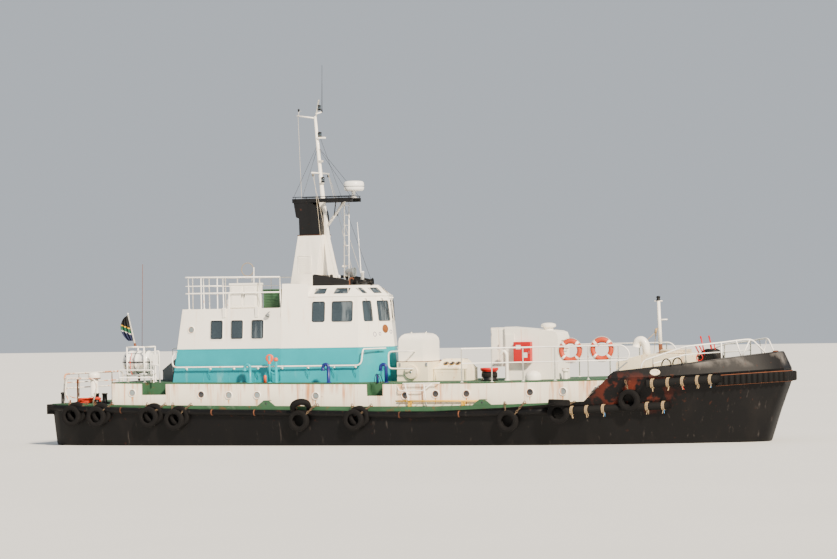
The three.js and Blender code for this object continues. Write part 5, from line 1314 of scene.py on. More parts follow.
dome.lathe(
    [
        (0, 8.15), (0.28, 8.152), (0.322, 8.19), (0.33, 8.24), (0.33, 8.36), (0.318, 8.42), (0.28, 8.46),
        (0.16, 8.477), (0, 8.48)
    ],
    (-2.38, 0, 0), 0, 48
)
dome.ringLathe([(0.33, 8.28), (0.333, 8.285), (0.333, 8.3), (0.33, 8.305)], (-2.38, 0, 0), 1, 48)
dome.lathe([(0.11, 7.93), (0.11, 7.945), (0.06, 7.96), (0.06, 8.12), (0.12, 8.155)], (-2.4, 0, 0))
dome.make("radar_dome_shell", [raftWhite, greyPaint], "raft_shell", replaces=["radar_dome"])
print("mast dressed")

# Wheelhouse roof: black coaming, horn, aerials and the searchlight
coamingValues = {"aft": -3.29, "front": -2.18, "half": 1.38, "toe": 0.288, "plate": 0.06}
roof = Shape()
roofZ = 5.08
for side in (-1, 1):
    c = coamingValues
    half = lambda x: c["half"] - (x - c["aft"]) * c["toe"]
    outline = [(-3.29, roofZ), (-2.18, roofZ), (-2.18, 5.2), (-2.35, 5.27), (-3.22, 5.43), (-3.29, 5.43)]
    roof.rings(
        [[vec(x, side * (half(x) - inset), z) for x, z in outline] for inset in (0, c["plate"])], 0, False
    )
    roof.box(-3.29, -3.25, side * 0.12, side * 1.36, 5.33, 5.43)
    edge = [(-3.27, 5.43), (-3.22, 5.43), (-2.35, 5.27), (-2.18, 5.2)]
    roof.tube([(x, side * (half(x) - 0.03), z + 0.004) for x, z in edge], 0.02, 0, 8)
    for x in (-3.0, -2.6, -2.25):
        roof.box(x - 0.02, x + 0.02, side * (half(x) - 0.16), side * (half(x) - 0.06), roofZ, 5.2)
roof.box(-2.45, -2.39, -1.1, 1.1, roofZ, 5.105)
roof.make("roof_coaming_plates", [blackPaint], "black_paint", bevel=0.006, replaces=["roof_coaming"])
gear = Shape()
hornY, aerialY, lampAt = -0.35, 0.6, (-2.42, -0.3)
gear.lathe(
    [(0.04, 0), (0.042, 0.12), (0.055, 0.2), (0.1, 0.275), (0.095, 0.28), (0.05, 0.2), (0, 0.15)],
    (-1.9, hornY, 5.2), 0, 28, (1, 0, 0.05)
)
gear.lathe([(0, -0.24), (0.06, -0.23), (0.062, -0.02), (0.04, 0)], (-1.9, hornY, 5.2), 0, 24, (1, 0, 0.04))
gear.rod((-2.04, hornY, roofZ), (-2.04, hornY, 5.18), 0.022)
gear.box(-2.44, -2.02, hornY - 0.03, hornY + 0.03, roofZ, 5.105)
gear.box(-2.56, -2.26, aerialY - 0.1, aerialY + 0.1, roofZ, 5.24, 1)
gear.tube(
    [(-2.425, aerialY, 5.22), (-2.48, aerialY, 6.2), (-2.54, aerialY, 7.15)], [0.017, 0.013, 0.008], 2, 10
)
gear.rod((-2.35, aerialY - 0.06, 5.2), (-2.35, aerialY - 0.06, 5.5), 0.04, 2, 18)
gear.lathe([(0.05, 0), (0.052, 0.02), (0, 0.05)], (-2.35, aerialY - 0.06, 5.5), 2, 18)
gear.rod((*lampAt, roofZ), (*lampAt, 5.3), 0.05, 0, 18)
for x, y, z, paint in ((-2.82, -0.95, 5.36, 0), (-2.66, -0.72, 5.34, 2)):
    gear.rod((x, y, roofZ), (x, y, z), 0.014, 2, 10)
    gear.lathe(
        [(0, -0.04), (0.05, -0.04), (0.055, 0.03), (0.03, 0.06), (0, 0.065)], (x, y, z + 0.02), paint, 18
    )
gear.bent(
    [(-2.28, -0.75, roofZ), (-2.28, -0.75, 5.27), (-2.2, -0.75, 5.33), (-2.13, -0.75, 5.27)], 0.05, 4, 0.026,
    3, 14
)
gear.rod((-3.1, 0.75, roofZ), (-3.1, 0.75, 5.7), 0.012, 2, 8)
gear.lathe([(0, 0), (0.07, 0.0), (0.075, 0.03), (0.06, 0.07), (0, 0.09)], (-3.1, 0.75, 5.68), 2, 20)
gear.make("roof_gear", [blackPaint, darkSteel, raftWhite, rustySteel], "black_paint")
lamp = Shape()
lamp.lathe([(0.07, 0), (0.07, 0.04), (0.03, 0.045), (0.03, 0.06)], (*lampAt, 5.3))
lamp.bent(
    [(-2.42, -0.455, 5.5), (-2.42, -0.455, 5.37), (-2.42, -0.145, 5.37), (-2.42, -0.145, 5.5)], 0.08, 5,
    0.014, 0, 10
)
lamp.rod((-2.42, -0.46, 5.5), (-2.42, -0.14, 5.5), 0.012, 0, 10)
lamp.lathe(
    [
        (0, -0.185), (0.06, -0.18), (0.11, -0.13), (0.13, 0.02), (0.142, 0.1), (0.15, 0.115), (0.15, 0.15),
        (0.138, 0.15), (0.138, 0.12)
    ],
    (*lampAt, 5.505), 0, 36, (1, 0, 0.05)
)
lamp.lathe([(0, 0.125), (0.138, 0.125)], (*lampAt, 5.505), 1, 36, (1, 0, 0.05))
lamp.make(
    "searchlight_head", [greyPaint, paleGlass], "grey_paint", body="searchlight", replaces=["searchlight"]
)
print("roof dressed")

# Fore deck: dome locker on its base, hose disc, skylight with its lids, mooring drum
painted("dome_locker", "dome_locker_body", [houseWhite], "white_paint", bevel=0.015, smoothAngle=40)
painted(
    "locker_base", "locker_base_body", [creamPaint], "cream_paint", bevel=0.01, drop=lambda c, n: c.y < -0.905
)
deckGear = Shape()
discAt = (-0.1, -0.9, 2.26)
for x in (-0.45, 0.06):
    deckGear.lathe(
        [(0.012, 3.49), (0.012, 3.515), (0.034, 3.52), (0.036, 3.54), (0, 3.555)], (x, 0, 0), 1, 18
    )
deckGear.tube(
    [(-0.61, -0.9, 2.598), (0.47, -0.9, 2.598), (0.47, 0.9, 2.598), (-0.61, 0.9, 2.598)], 0.012, 0, 8,
    closed=True
)
deckGear.lathe(
    [(0, 0.0), (0.235, 0.0), (0.24, 0.02), (0.24, 0.05), (0.2, 0.068), (0, 0.068)], discAt, 2, 40, (0, -1, 0)
)
for r in (0.07, 0.115, 0.16, 0.205):
    deckGear.ringLathe([(r - 0.012, 0.06), (r, 0.074), (r + 0.012, 0.06)], discAt, 3, 36, (0, -1, 0))
deckGear.lathe([(0, 0.06), (0.035, 0.062), (0.035, 0.085), (0, 0.088)], discAt, 1, 18, (0, -1, 0))
for x in (-0.5, 0.42):
    deckGear.box(x - 0.03, x + 0.03, -0.925, -0.9, 2.45, 2.56, 1)
deckGear.make("locker_details", [rustySteel, brightSteel, creamPaint, whiteRope], "cream_paint")
painted("skylight", "skylight_body", [creamPaint], "cream_paint", bevel=0.01)
sky = Shape()
for side in (-1, 1):
    sky.tube([(0.49, side * 0.472, 2.35), (1.64, side * 0.472, 2.35)], 0.014, 0, 8)
    for k in range(20):
        sky.lathe(
            [(0.012, 0), (0.01, 0.007), (0, 0.008)], (0.53 + k * 0.056, side * 0.47, 2.24), 0, 8, (0, side, 0)
        )
    for x in (0.56, 1.57):
        sky.rod((x, side * 0.478, 2.0), (x, side * 0.478, 2.33), 0.012, 0, 8)
sky.tube([(0.64, 0, 2.642), (1.49, 0, 2.642)], 0.02, 0, 10)
sky.make("skylight_beads", [creamPaint], "cream_paint")
for name, side in sides.items():
    body = "skylight_lid_" + name
    painted(body, "lid_" + name, [creamPaint], "cream_paint", bevel=0.006, body=body)
    lights = Shape()
    slope = vec(0, side * 0.29, 0.41).normalized()
    for x in (0.86, 1.065, 1.27):
        spot = vec(x, side * 0.285, 2.64 - (0.285 - 0.06) * 0.7073) + slope * 0.036
        addPorthole(lights, spot, slope, 0.062)
    lights.bent(
        [
            (1.0, side * 0.44, 2.42), (1.0, side * 0.475, 2.44), (1.13, side * 0.475, 2.44),
            (1.13, side * 0.44, 2.42)
        ],
        0.02, 3, 0.008, 2, 8
    )
    lights.make("lid_ports_" + name, [bronze, portGlass, brightSteel], "cream_paint", body=body)
drum = Shape()
drumAt = (2.6, -1.0)
foot = trunkZ(drumAt[0])
drum.lathe(
    [(0.27, 0), (0.27, 0.04), (0.235, 0.08), (0.225, 0.12), (0.225, 0.26), (0.24, 0.3)], (*drumAt, foot), 0,
    40
)
drum.lathe(
    [(0.24, 0.3), (0.28, 0.335), (0.29, 0.36), (0.29, 0.4), (0.275, 0.415), (0, 0.42)], (*drumAt, foot), 1, 40
)
drum.make("mooring_drum_body", [blackPaint, redPaint], "black_paint", replaces=["mooring_drum"])

# Companionway, its mushroom vent, goosenecks, locker doors and hose cabinet
painted("companionway", "companionway_body", [deckWhite], "cream_paint", bevel=0.014)
painted(
    "companionway_door", "companionway_door_leaf", [deckWhite], "cream_paint", bevel=0.006,
    body="companionway_door"
)
doorFit = Shape()
doorFit.bent(
    [(3.3, 0.592, 2.68), (3.3, 0.625, 2.7), (3.3, 0.625, 2.86), (3.3, 0.592, 2.88)], 0.02, 3, 0.009, 0, 8
)
doorFit.box(3.24, 3.32, 0.586, 0.6, 2.6, 2.66)
addPorthole(doorFit, (3.6, 0.586, 3.02), (0, 1, 0), 0.11)
doorFit.make(
    "companionway_door_fittings", [brightSteel, portGlass, rustySteel], "cream_paint",
    body="companionway_door"
)
house = Shape()
house.lathe(
    [
        (0.15, 3.5), (0.15, 3.6), (0.16, 3.62), (0.225, 3.635), (0.238, 3.66), (0.235, 3.72), (0.17, 3.752),
        (0, 3.77)
    ],
    (4.28, -0.06, 0), 0, 40
)
house.lathe([(0.17, 3.49), (0.17, 3.51), (0.15, 3.515)], (4.28, -0.06, 0), 1, 40)
for x0, x1, z0, z1 in ((2.5, 2.7, 2.46, 3.58), (2.74, 2.94, 2.46, 3.58)):
    house.box(x0, x1, -0.462, -0.45, z0, z1)
house.box(3.0, 3.3, -0.556, -0.54, 2.72, 3.42)
house.rod((2.72, -0.475, 2.95), (2.72, -0.475, 3.1), 0.01, 2, 8)
for z in (2.62, 3.4):
    for x in (2.49, 2.95):
        house.rod((x, -0.462, z), (x, -0.462, z + 0.08), 0.012, 2, 8)
house.bent(
    [(3.1, -0.74, trunkZ(3.1)), (3.1, -0.74, 2.8), (3.0, -0.74, 2.92), (2.9, -0.74, 2.78)], 0.1, 5, 0.055, 0,
    18
)
house.lathe([(0.09, 0), (0.09, 0.02), (0.055, 0.03)], (3.1, -0.74, trunkZ(3.1)))
house.lathe(
    [(0.26, 0), (0.26, 0.12), (0.22, 0.22), (0.12, 0.28), (0, 0.3)], (4.05, -0.92, trunkZ(4.05)), 0, 36
)
house.lathe(
    [(0.07, 0), (0.07, 0.22), (0.11, 0.24), (0.11, 0.3), (0, 0.33)], (4.98, -0.5, trunkZ(4.98)), 0, 28
)
for z in (2.3, 2.62, 2.94, 3.2):
    house.bent([(4.765, -0.2, z), (4.85, -0.2, z), (4.85, 0.2, z), (4.765, 0.2, z)], 0.03, 3, 0.012, 1, 8)
house.make("companionway_details", [deckWhite, rustySteel, brightSteel], "cream_paint", bevel=0.005)
cabinet = Shape()
cabinet.box(3.33, 3.9, -0.74, -0.541, 2.52, 3.18)
cabinet.box(3.345, 3.885, -0.75, -0.738, 2.535, 3.165)
for x0, x1, z0, z1 in ((3.42, 3.58, 2.95, 3.08), (3.65, 3.8, 2.68, 2.84)):
    cabinet.box(x0, x1, -0.752, -0.749, z0, z1, 1)
cabinet.rod((3.86, -0.756, 2.8), (3.86, -0.756, 2.9), 0.009, 2, 8)
cabinet.make(
    "hose_cabinet_body", [redPaint, buoyWhite, brightSteel], "red_paint", bevel=0.004,
    replaces=["hose_cabinet"]
)
print("fore deck dressed")

# Rails of the fore deck and bow
foreRailValues = {
    "y": 2.64, "toe": 0.12, "bar": 0.024, "post": 0.02, "posts": [2.3, 3.31, 4.35, 5.4, 6.45, 7.4]
}


def foreY(x, side):
    return side * (foreRailValues["y"] - max(0, x - 5.5) * foreRailValues["toe"])


def makeForeRail(name, side):
    high = lambda x: 3.01 + (x - 2.3) * 0.01
    bar = Shape()
    top = [(2.3, high(2.3)), (5.5, high(5.5)), (7.56, high(7.56)), (7.76, 2.83), (7.7, 2.6), (7.4, 2.59)]
    bar.bent([(x, foreY(x, side), z) for x, z in top], 0.14, 6, foreRailValues["bar"], 0, 14)
    bar.tube([(x, foreY(x, side), high(x) - 0.46) for x in (2.3, 5.5, 7.42)], 0.018)
    for x in foreRailValues["posts"]:
        foot = trunkZ(x) if x < 7.15 else deckZ(x)
        bar.tube([(x, foreY(x, side), foot), (x, foreY(x, side), high(x))], foreRailValues["post"])
        bar.lathe([(0.055, 0), (0.055, 0.012), (0.022, 0.016)], (x, foreY(x, side), foot), 0, 18)
    bar.make("fore_rail_bars_" + name, [railWhite], replaces=["fore_rail_" + name])


def makeBowRail(name, side):
    at = lambda x, y, z: (x, side * y, z)
    bar = Shape()
    top = [
        at(8.09, 2.5, deckZ(8.09)), at(8.2, 2.48, 2.57), at(9.45, 2.03, 2.99), at(10.45, 1.56, 3.09),
        at(11.02, 1.09, 3.165), at(11.23, 0.88, 3.17), at(11.56, 0.43, 2.7), at(11.59, 0.4, deckZ(11.59))
    ]
    bar.bent(top, 0.16, 6, 0.024, 0, 14)
    bar.tube([at(8.5, 2.36, 2.48), at(9.45, 2.03, 2.74), at(10.45, 1.56, 2.8)], 0.019)
    for x, y, z in ((9.45, 2.03, 2.99), (10.45, 1.56, 3.09), (8.5, 2.36, 2.66)):
        bar.rod(at(x, y, deckZ(x)), at(x, y, z), 0.02)
        bar.lathe([(0.05, 0), (0.05, 0.012), (0.022, 0.016)], at(x, y, deckZ(x)), 0, 16)
    bar.rod(at(10.96, 1.13, deckZ(10.96)), at(10.96, 1.13, 2.64), 0.02)
    bar.rod(at(10.96, 1.13, 2.62), at(10.83, 1.25, 3.14), 0.02)
    bar.rod(at(10.96, 1.13, 2.62), at(11.18, 0.93, 3.165), 0.02)
    bar.make("bow_rail_bars_" + name, [railWhite], replaces=["bow_rail_" + name])


for name, side in sides.items():
    makeForeRail(name, side)
    makeBowRail(name, side)
extra = Shape()
for side in (-1, 1):
    y = side * 2.95
    extra.bent(
        [(0.42, side * 2.84, 1.94), (0.42, y, 1.94), (1.62, y, 1.95), (1.62, side * 2.84, 1.95)], 0.05, 4,
        0.02
    )
    extra.bent([(0.2, side * 2.84, 1.86), (0.3, y, 1.72), (1.1, y, 1.72), (1.42, y, 1.94)], 0.06, 4, 0.018)
    for x0, x1 in ((0.5, 0.66), (1.14, 1.22)):
        extra.tube([(x0, y, 1.93), (x1, y, deckZ(x1))], 0.018)
    extra.bent(
        [(7.67, side * 2.36, 2.54), (7.1, side * 2.62, 2.05), (6.65, side * 2.85, 1.63)], 0.2, 5, 0.022, 1
    )
    hoop = [
        (-0.03, side * 0.76, 2.92), (-0.02, side * 1.08, 2.93), (-0.82, side * 1.08, 2.93),
        (-0.82, side * 1.08, 2.38), (-0.04, side * 1.08, 2.37), (-0.03, side * 0.93, 2.37)
    ]
    extra.bent(hoop, 0.14, 6, 0.024, 0, 14)
extra.make("deck_hoops", [railWhite, greyPaint])

# Lifebuoys with their bands and grab lines
buoyValues = {"ring": 0.292, "tube": 0.08, "spots": [(5.87, 2.915), (6.86, 2.945)]}
for n, (x, z) in enumerate(buoyValues["spots"]):
    centre = vec(x, 0.094 + foreY(x, -1), z)
    turn = atan(foreRailValues["toe"])
    axis = vec(sin(turn), -cos(turn), 0)
    flat = vec(cos(turn), sin(turn), 0)
    shell, bands = Shape(), Shape()
    r, tube = buoyValues["ring"], buoyValues["tube"]
    shell.ringLathe(hoopProfile(r, tube, 18), centre, 0, 48, axis)
    grab = []
    for quarter in range(4):
        start = radians(45 + 90 * quarter)
        arc = [start + radians(-7 + 14 * k / 4) for k in range(5)]
        rings = []
        for a in arc:
            spoke = flat * cos(a) + vec(0, 0, sin(a))
            rings.append(
                [
                    centre + spoke * (r + (tube + 0.003) * cos(b)) + axis * (tube + 0.003) * sin(b)
                    for b in wholeTurn(16)
                ]
            )
        bands.rings(rings, 0, True)
        for k in range(6):
            a = start + radians(15 * k)
            spoke = flat * cos(a) + vec(0, 0, sin(a))
            sag = 0.018 * sin(pi * k / 6)
            grab.append(centre + spoke * (r + tube + 0.006 + sag))
    bands.tube(grab, 0.007, 1, 6, closed=True)
    shell.make(f"lifebuoy_shell_{n + 1}", [buoyOrange], "buoy_shell", replaces=[f"lifebuoy_{n + 1}"])
    bands.make(f"lifebuoy_bands_{n + 1}", [buoyWhite, whiteRope], "buoy_shell")

# Boarding ladder along the side deck
ladder = Shape()
for y in (-2.905, -3.095):
    ladder.rod((0.23, y, 1.4), (2.93, y, 1.39), 0.022, 0, 14)
for k in range(9):
    x = 0.38 + 0.3 * k
    ladder.rod((x, -2.905, 1.4), (x, -3.095, 1.4), 0.014, 0, 10)
for x in (0.68, 2.48):
    ladder.box(x - 0.03, x + 0.03, -3.095, -2.905, deckZ(x), 1.39)
ladder.make("boarding_ladder_rails", [yellowPaint], "yellow_paint", replaces=["boarding_ladder"])

# Foremast and gooseneck on the fore house
fore = Shape()
fore.tube([(7.99, 0, 2.76), (7.94, 0, 4.44)], [0.062, 0.048], 0, 24)
fore.tube([(7.99, 0, 2.762), (7.98, 0, 3.05)], [0.064, 0.061], 2, 24)
fore.lathe([(0.15, 2.76), (0.15, 2.775), (0.07, 2.79)], (7.99, 0, 0), 2, 28)
fore.rod((7.82, 0, 4.4), (8.07, 0, 4.4), 0.016)
fore.rod((7.95, 0, 3.81), (8.22, 0, 3.815), 0.022, 0, 14)
fore.lathe(
    [
        (0, 4.42), (0.072, 4.422), (0.072, 4.445), (0.05, 4.45), (0.055, 4.5), (0.072, 4.51), (0.07, 4.53),
        (0.03, 4.56), (0, 4.561)
    ],
    (7.936, 0, 0), 1
)
fore.tube([(7.9, 0.0, 3.55), (7.84, 0, 3.45), (7.83, 0, 3.3)], 0.02, 3, 10)
fore.lathe([(0, -0.09), (0.04, -0.07), (0.045, 0.05), (0, 0.08)], (7.84, 0, 3.47), 3, 16, (0.2, 0, 1))
fore.rod((7.83, 0, 3.42), (7.42, -0.35, 2.98), 0.01, 3, 8)
fore.rod((7.84, 0, 3.4), (7.72, 0.1, 2.72), 0.008, 3, 8)
fore.bent(
    [(7.72, -0.6, 2.69), (7.7, -0.6, 3.05), (7.58, -0.6, 3.2), (7.42, -0.6, 3.16), (7.38, -0.6, 2.98)], 0.12,
    6, 0.125, 0, 24
)
fore.lathe([(0.12, 0), (0.12, 0.02), (0.08, 0.03)], (7.7, -0.6, 2.7), 2, 24, (-0.22, 0, 1))
fore.make("foremast_body", [houseWhite, blackPaint, rustySteel, brownRope], replaces=["foremast"])


# Ropes. Each is one length: a lead from what holds it, then a coil laid in layers that run in and out
# by turns
def coilRoute(centre, z, c):
    route, steps = [], 28
    for i in range(c["turns"] * c["layers"] * steps + 1):
        done = i / steps
        layer = min(int(done // c["turns"]), c["layers"] - 1)
        within = done - layer * c["turns"]
        outward = within if layer % 2 else c["turns"] - within
        a = radians(c["start"]) + c["way"] * 2 * pi * done
        radius = (c["inner"] + c["pitch"] * outward) * (1 + c["wave"] * sin(2 * a + 0.6))
        climb = min(1, within / 0.2) if layer else 1
        height = z + c["diameter"] * (0.5 + 1.08 * (max(0, layer - 1) + (climb if layer else 0)))
        shift = c["straight"] * (1 if sin(a + c["way"] * 1e-6) > 0 else -1)
        route.append(vec(centre[0] + radius * cos(a), centre[1] + shift + radius * sin(a), height))
    return route


def layRope(name, route, diameter, material, slotName, body="vessel"):
    rope = Shape().tube(route, diameter / 2, 0, 8)
    made = rope.make(name, [material], slotName, body=body)
    long = sum((b - a).length for a, b in zip(route, route[1:]))
    tuple(route[0])
    [tuple(p) for p in route]
    print(name, "is", round(long, 1), "m long")


foreRope = {
    "top": 2.756, "diameter": 0.04, "inner": 0.13, "pitch": 0.0455, "turns": 5, "layers": 3, "start": 180,
    "way": 1, "straight": 0.45, "wave": 0.03
}
foreCoil = coilRoute((8.52, -0.1), foreRope["top"], foreRope)
low = foreRope["top"] + 0.02
foreLead = [
    (8.068, 0.02, 2.93), (8.08, 0.01, 2.85), (8.11, -0.04, 2.8), (8.13, -0.14, low + 0.002),
    (8.145, -0.3, low)
]
foreRoute = rounded(foreLead + foreCoil[:1], 0.05, 4)[:-1] + foreCoil
layRope("fore_house_rope", foreRoute, foreRope["diameter"], whiteRope, "cream_paint")

# Windlass: cheeks, levers, and the drum with its rope
painted("windlass", "windlass_frame", [blackPaint], "black_paint", bevel=0.01, drop=lambda c, n: c.z > 2.79)
wind = Shape()
for y in (-0.44, 0.43):
    wind.rod((9.56, y, 2.7), (9.44, y, 3.28), 0.022)
    wind.lathe([(0, -0.05), (0.022, -0.045), (0.024, 0.03), (0, 0.04)], (9.44, y, 3.25), 0, 14, (-0.2, 0, 1))
for y in (-0.3, 0.1):
    wind.rod((9.75, y, 2.72), (9.7, y, 3.05), 0.02)
    wind.rod((9.35, y, 2.72), (9.22, y, 2.98), 0.022)
wind.ringLathe(hoopProfile(0.1, 0.014, 8), (9.4, -0.46, 2.62), 0, 24, (0, 1, 0))
wind.rod((9.75, -0.3, 2.72), (9.75, 0.1, 2.72), 0.02, 1, 10)
wind.rod((9.35, -0.45, 2.72), (9.35, 0.45, 2.72), 0.02, 1, 10)
wind.make("windlass_levers", [redPaint, blackPaint], "black_paint")
reelX, reelZ = 9.64, 2.59
reel = Shape()
reel.tube([(reelX, -0.3997, reelZ), (reelX, 0.3997, reelZ)], 0.045, 0, 20)
reel.tube([(reelX, -0.33, reelZ), (reelX, 0.33, reelZ)], 0.15, 0, 36)
for y in (-0.3175, 0.3175):
    reel.lathe(
        [(0.05, -0.0175), (0.29, -0.0175), (0.3, -0.01), (0.3, 0.01), (0.29, 0.0175), (0.05, 0.0175)],
        (reelX, y, reelZ), 0, 40, (0, 1, 0)
    )
reel.make("windlass_reel", [blackPaint], "black_paint", body="windlass_drum", replaces=["windlass_drum"])
drumRope = {"diameter": 0.042, "half": 0.277, "turns": 12, "radii": (0.172, 0.217, 0.262), "steps": 24}
wound = []
for i in range(drumRope["turns"] * 3 * drumRope["steps"] + 1):
    done = i / drumRope["steps"]
    layer = min(int(done // drumRope["turns"]), 2)
    within = done - layer * drumRope["turns"]
    share = within / drumRope["turns"]
    across = drumRope["half"] * (2 * share - 1) * (1 if layer % 2 == 0 else -1)
    before = drumRope["radii"][max(0, layer - 1)]
    radius = before + (drumRope["radii"][layer] - before) * min(1, within / 0.2)
    a = 2 * pi * done
    wound.append(vec(reelX + radius * cos(a), across, reelZ + radius * sin(a)))
layRope(
    "windlass_rope", wound, drumRope["diameter"], tarredRope, "black_paint", body="windlass_drum",
)
# The mooring drum's rope lies in one layer
mooringRope = {
    "centre": drumAt, "foot": 0.12, "diameter": 0.038, "radius": 0.245, "pitch": 0.04, "turns": 3.5,
    "steps": 24
}
wound = []
for i in range(int(mooringRope["turns"] * mooringRope["steps"]) + 1):
    done = i / mooringRope["steps"]
    a = 2 * pi * done
    x, y = [c + mooringRope["radius"] * part for c, part in zip(mooringRope["centre"], (cos(a), sin(a)))]
    wound.append(
        vec(x, y, trunkZ(mooringRope["centre"][0]) + mooringRope["foot"] + mooringRope["pitch"] * done)
    )
layRope("mooring_drum_rope", wound, mooringRope["diameter"], tarredRope, "black_paint")
print("bow dressed")

# Liferaft: two shells with a black seam, belts and grab lines
raftValues = {
    "y": -2.08, "z": 2.7, "aft": -9.7, "fore": -8.76, "radius": 0.372, "belts": (-9.56, -9.23, -8.9)
}
raft = Shape()
v = raftValues
raftY, raftZ = v["y"], v["z"]
long = v["fore"] - v["aft"]
ends = [(0.0, 0.0), (0.2, 0.004), (0.3, 0.02), (0.35, 0.06), (0.368, 0.12)]
body = [
    (0.372, 0.16), (0.372, 0.26), (0.362, 0.275), (0.362, 0.4), (0.372, 0.415), (0.372, 0.525), (0.362, 0.54),
    (0.362, 0.665), (0.372, 0.68), (0.372, 0.78)
]
profile = ends + body + [(r, long - h) for r, h in reversed(ends)]
raft.lathe(profile, (v["aft"], raftY, raftZ), 0, 48, (1, 0, 0))
seam = []
for a in wholeTurn(48):
    along, across = cos(a), sin(a)
    corner = (abs(along) ** 5 + abs(across) ** 5) ** -0.2
    x = v["aft"] + long / 2 + along * corner * (long / 2 + 0.006)
    seam.append((x, raftY + across * corner * (v["radius"] + 0.004), raftZ))
raft.tube(seam, 0.024, 1, 8, closed=True)
for x in v["belts"]:
    raft.ringLathe(
        [(0.366, -0.022), (0.378, -0.022), (0.378, 0.022), (0.366, 0.022)], (x, raftY, raftZ), 2, 48,
        (1, 0, 0)
    )
    raft.box(x - 0.03, x + 0.03, raftY - 0.396, raftY - 0.372, raftZ + 0.08, raftZ + 0.16, 3)
for k in range(6):
    x = v["aft"] + 0.09 + k * 0.13
    loop = [
        (x + 0.13 * s / 6, raftY - 0.385 + 0.03 * sin(pi * s / 6) ** 2, raftZ - 0.07 - 0.11 * sin(pi * s / 6))
        for s in range(7)
    ]
    raft.tube(loop, 0.008, 4, 6)
raft.bent(
    [
        (-9.3, raftY - 0.39, raftZ + 0.3), (-9.36, raftY - 0.42, raftZ), (-9.34, raftY - 0.4, raftZ - 0.3),
        (-9.3, raftY - 0.36, 2.28)
    ],
    0.1, 4, 0.012, 5, 8
)
raft.make(
    "liferaft_canister", [raftWhite, clothBlack, greyPaint, brightSteel, whiteRope, orangeRope], "raft_shell",
    replaces=["liferaft"]
)

# Cradle, rack, ensign staff and the ensign hanging in pleats
cradleValues = {"xs": (-9.47, -8.85), "ys": (-2.48, -1.68), "head": 3.19}
cradle = Shape()
(aftX, foreX), (outY, inY) = cradleValues["xs"], cradleValues["ys"]
head = cradleValues["head"]
for x in (aftX, foreX):
    for y in (outY, inY):
        cradle.rod((x, y, trunkZ(x)), (x, y, head), 0.026, 0, 16)
        cradle.lathe([(0.06, 0), (0.06, 0.012), (0.028, 0.016)], (x, y, trunkZ(x)), 0, 20)
    cradle.rod((x, outY, head), (x, inY, head), 0.026, 0, 16)
    cradle.rod((x, outY, 2.306), (x, inY, 2.306), 0.022, 0, 14)
for y in (outY, inY):
    for z in (2.27, head):
        cradle.rod((aftX, y, z), (foreX, y, z), 0.022, 0, 14)
rack = [
    (-9.69, -2.64, trunkZ(-9.69)), (-9.69, -2.64, 2.45), (-8.44, -2.64, 2.44), (-8.44, -2.64, trunkZ(-8.44))
]
cradle.bent(rack, 0.06, 5, 0.02, 0, 14)
cradle.rod((-9.69, -2.64, 2.2), (-8.44, -2.64, 2.2), 0.016)
for x in (aftX, foreX):
    cradle.rod((x, outY, 2.27), (x, -2.64, 2.3), 0.016, 0, 10)
frame = [(-8.6, -2.5, trunkZ(-8.6)), (-8.6, -2.5, 3.02), (-8.3, -2.5, 3.06), (-8.28, -2.5, trunkZ(-8.28))]
cradle.bent(frame, 0.05, 4, 0.022, 0, 14)
cradle.rod((-8.6, -2.5, 2.6), (-8.28, -2.5, 2.6), 0.018, 0, 10)
cradle.box(-8.54, -8.34, -2.5, -2.36, 2.62, 2.95)
staff = [vec(-9.56, inY, head), vec(-9.818, inY, 4.27)]
cradle.tube([staff[0], staff[1]], [0.03, 0.02], 0, 16)
cradle.lathe([(0, 0), (0.028, 0.004), (0.03, 0.02), (0, 0.045)], staff[1], 0, 14)
cradle.lathe([(0.04, -0.03), (0.045, 0), (0.04, 0.12), (0.03, 0.125)], staff[0], 1, 16, staff[1] - staff[0])
cradle.make("raft_cradle_frame", [railWhite, rustySteel], replaces=["raft_cradle"])

ensignValues = {
    "hoist": 0.86, "fly": 0.62, "rows": 44, "steps": 96, "pleats": 6.2, "deep": 0.05, "top": 0.96,
    "off": 0.028, "bands": [(0.5, 0), (0.54, 4), (0.72, 1), (0.77, 2)]
}


def makeEnsign():
    e = ensignValues
    up = (staff[1] - staff[0]).normalized()
    top = staff[0].lerp(staff[1], e["top"])
    points, faces, slots = [], [], []
    for row in range(e["rows"] + 1):
        s = row / e["rows"]
        hoistPoint = top - up * e["hoist"] * s

        def path(reach):
            line = []
            for k in range(e["steps"] + 1):
                u = k / e["steps"]
                deep = e["deep"] * (1 - 0.2 * sin(pi * s) + 0.05 * sin(4 * s + 3 * u)) * min(1, 6 * u + 0.05)
                wave = deep * sin(2 * pi * e["pleats"] * u * 0.5 + 0.8 * s + 0.4 * sin(5 * s))
                line.append(vec(-e["off"] - reach * u, wave, -0.05 * u * (1 - s)))
            return line

        low, high = 0.01, e["fly"]
        for k in range(24):
            middle = (low + high) / 2
            line = path(middle)
            size = sum((b - a).length for a, b in zip(line, line[1:]))
            low, high = (middle, high) if size < e["fly"] else (low, middle)
        points += [hoistPoint + p for p in line]
    wide = e["steps"] + 1
    for row in range(e["rows"]):
        for k in range(e["steps"]):
            a = row * wide + k
            faces.append((a, a + 1, a + wide + 1, a + wide))
            band = row / e["rows"] + 0.22 * k / e["steps"]
            slots.append(next((slot for edge, slot in e["bands"] if band < edge), 3))
    cloth = Shape().add(points, faces, 0, True)
    cloth.slots = slots
    made = cloth.make(
        "ensign_cloth", [clothDark, clothGreen, clothWhite, clothBlue, yellowPaint], "ensign_cloth",
        replaces=["ensign"]
    )


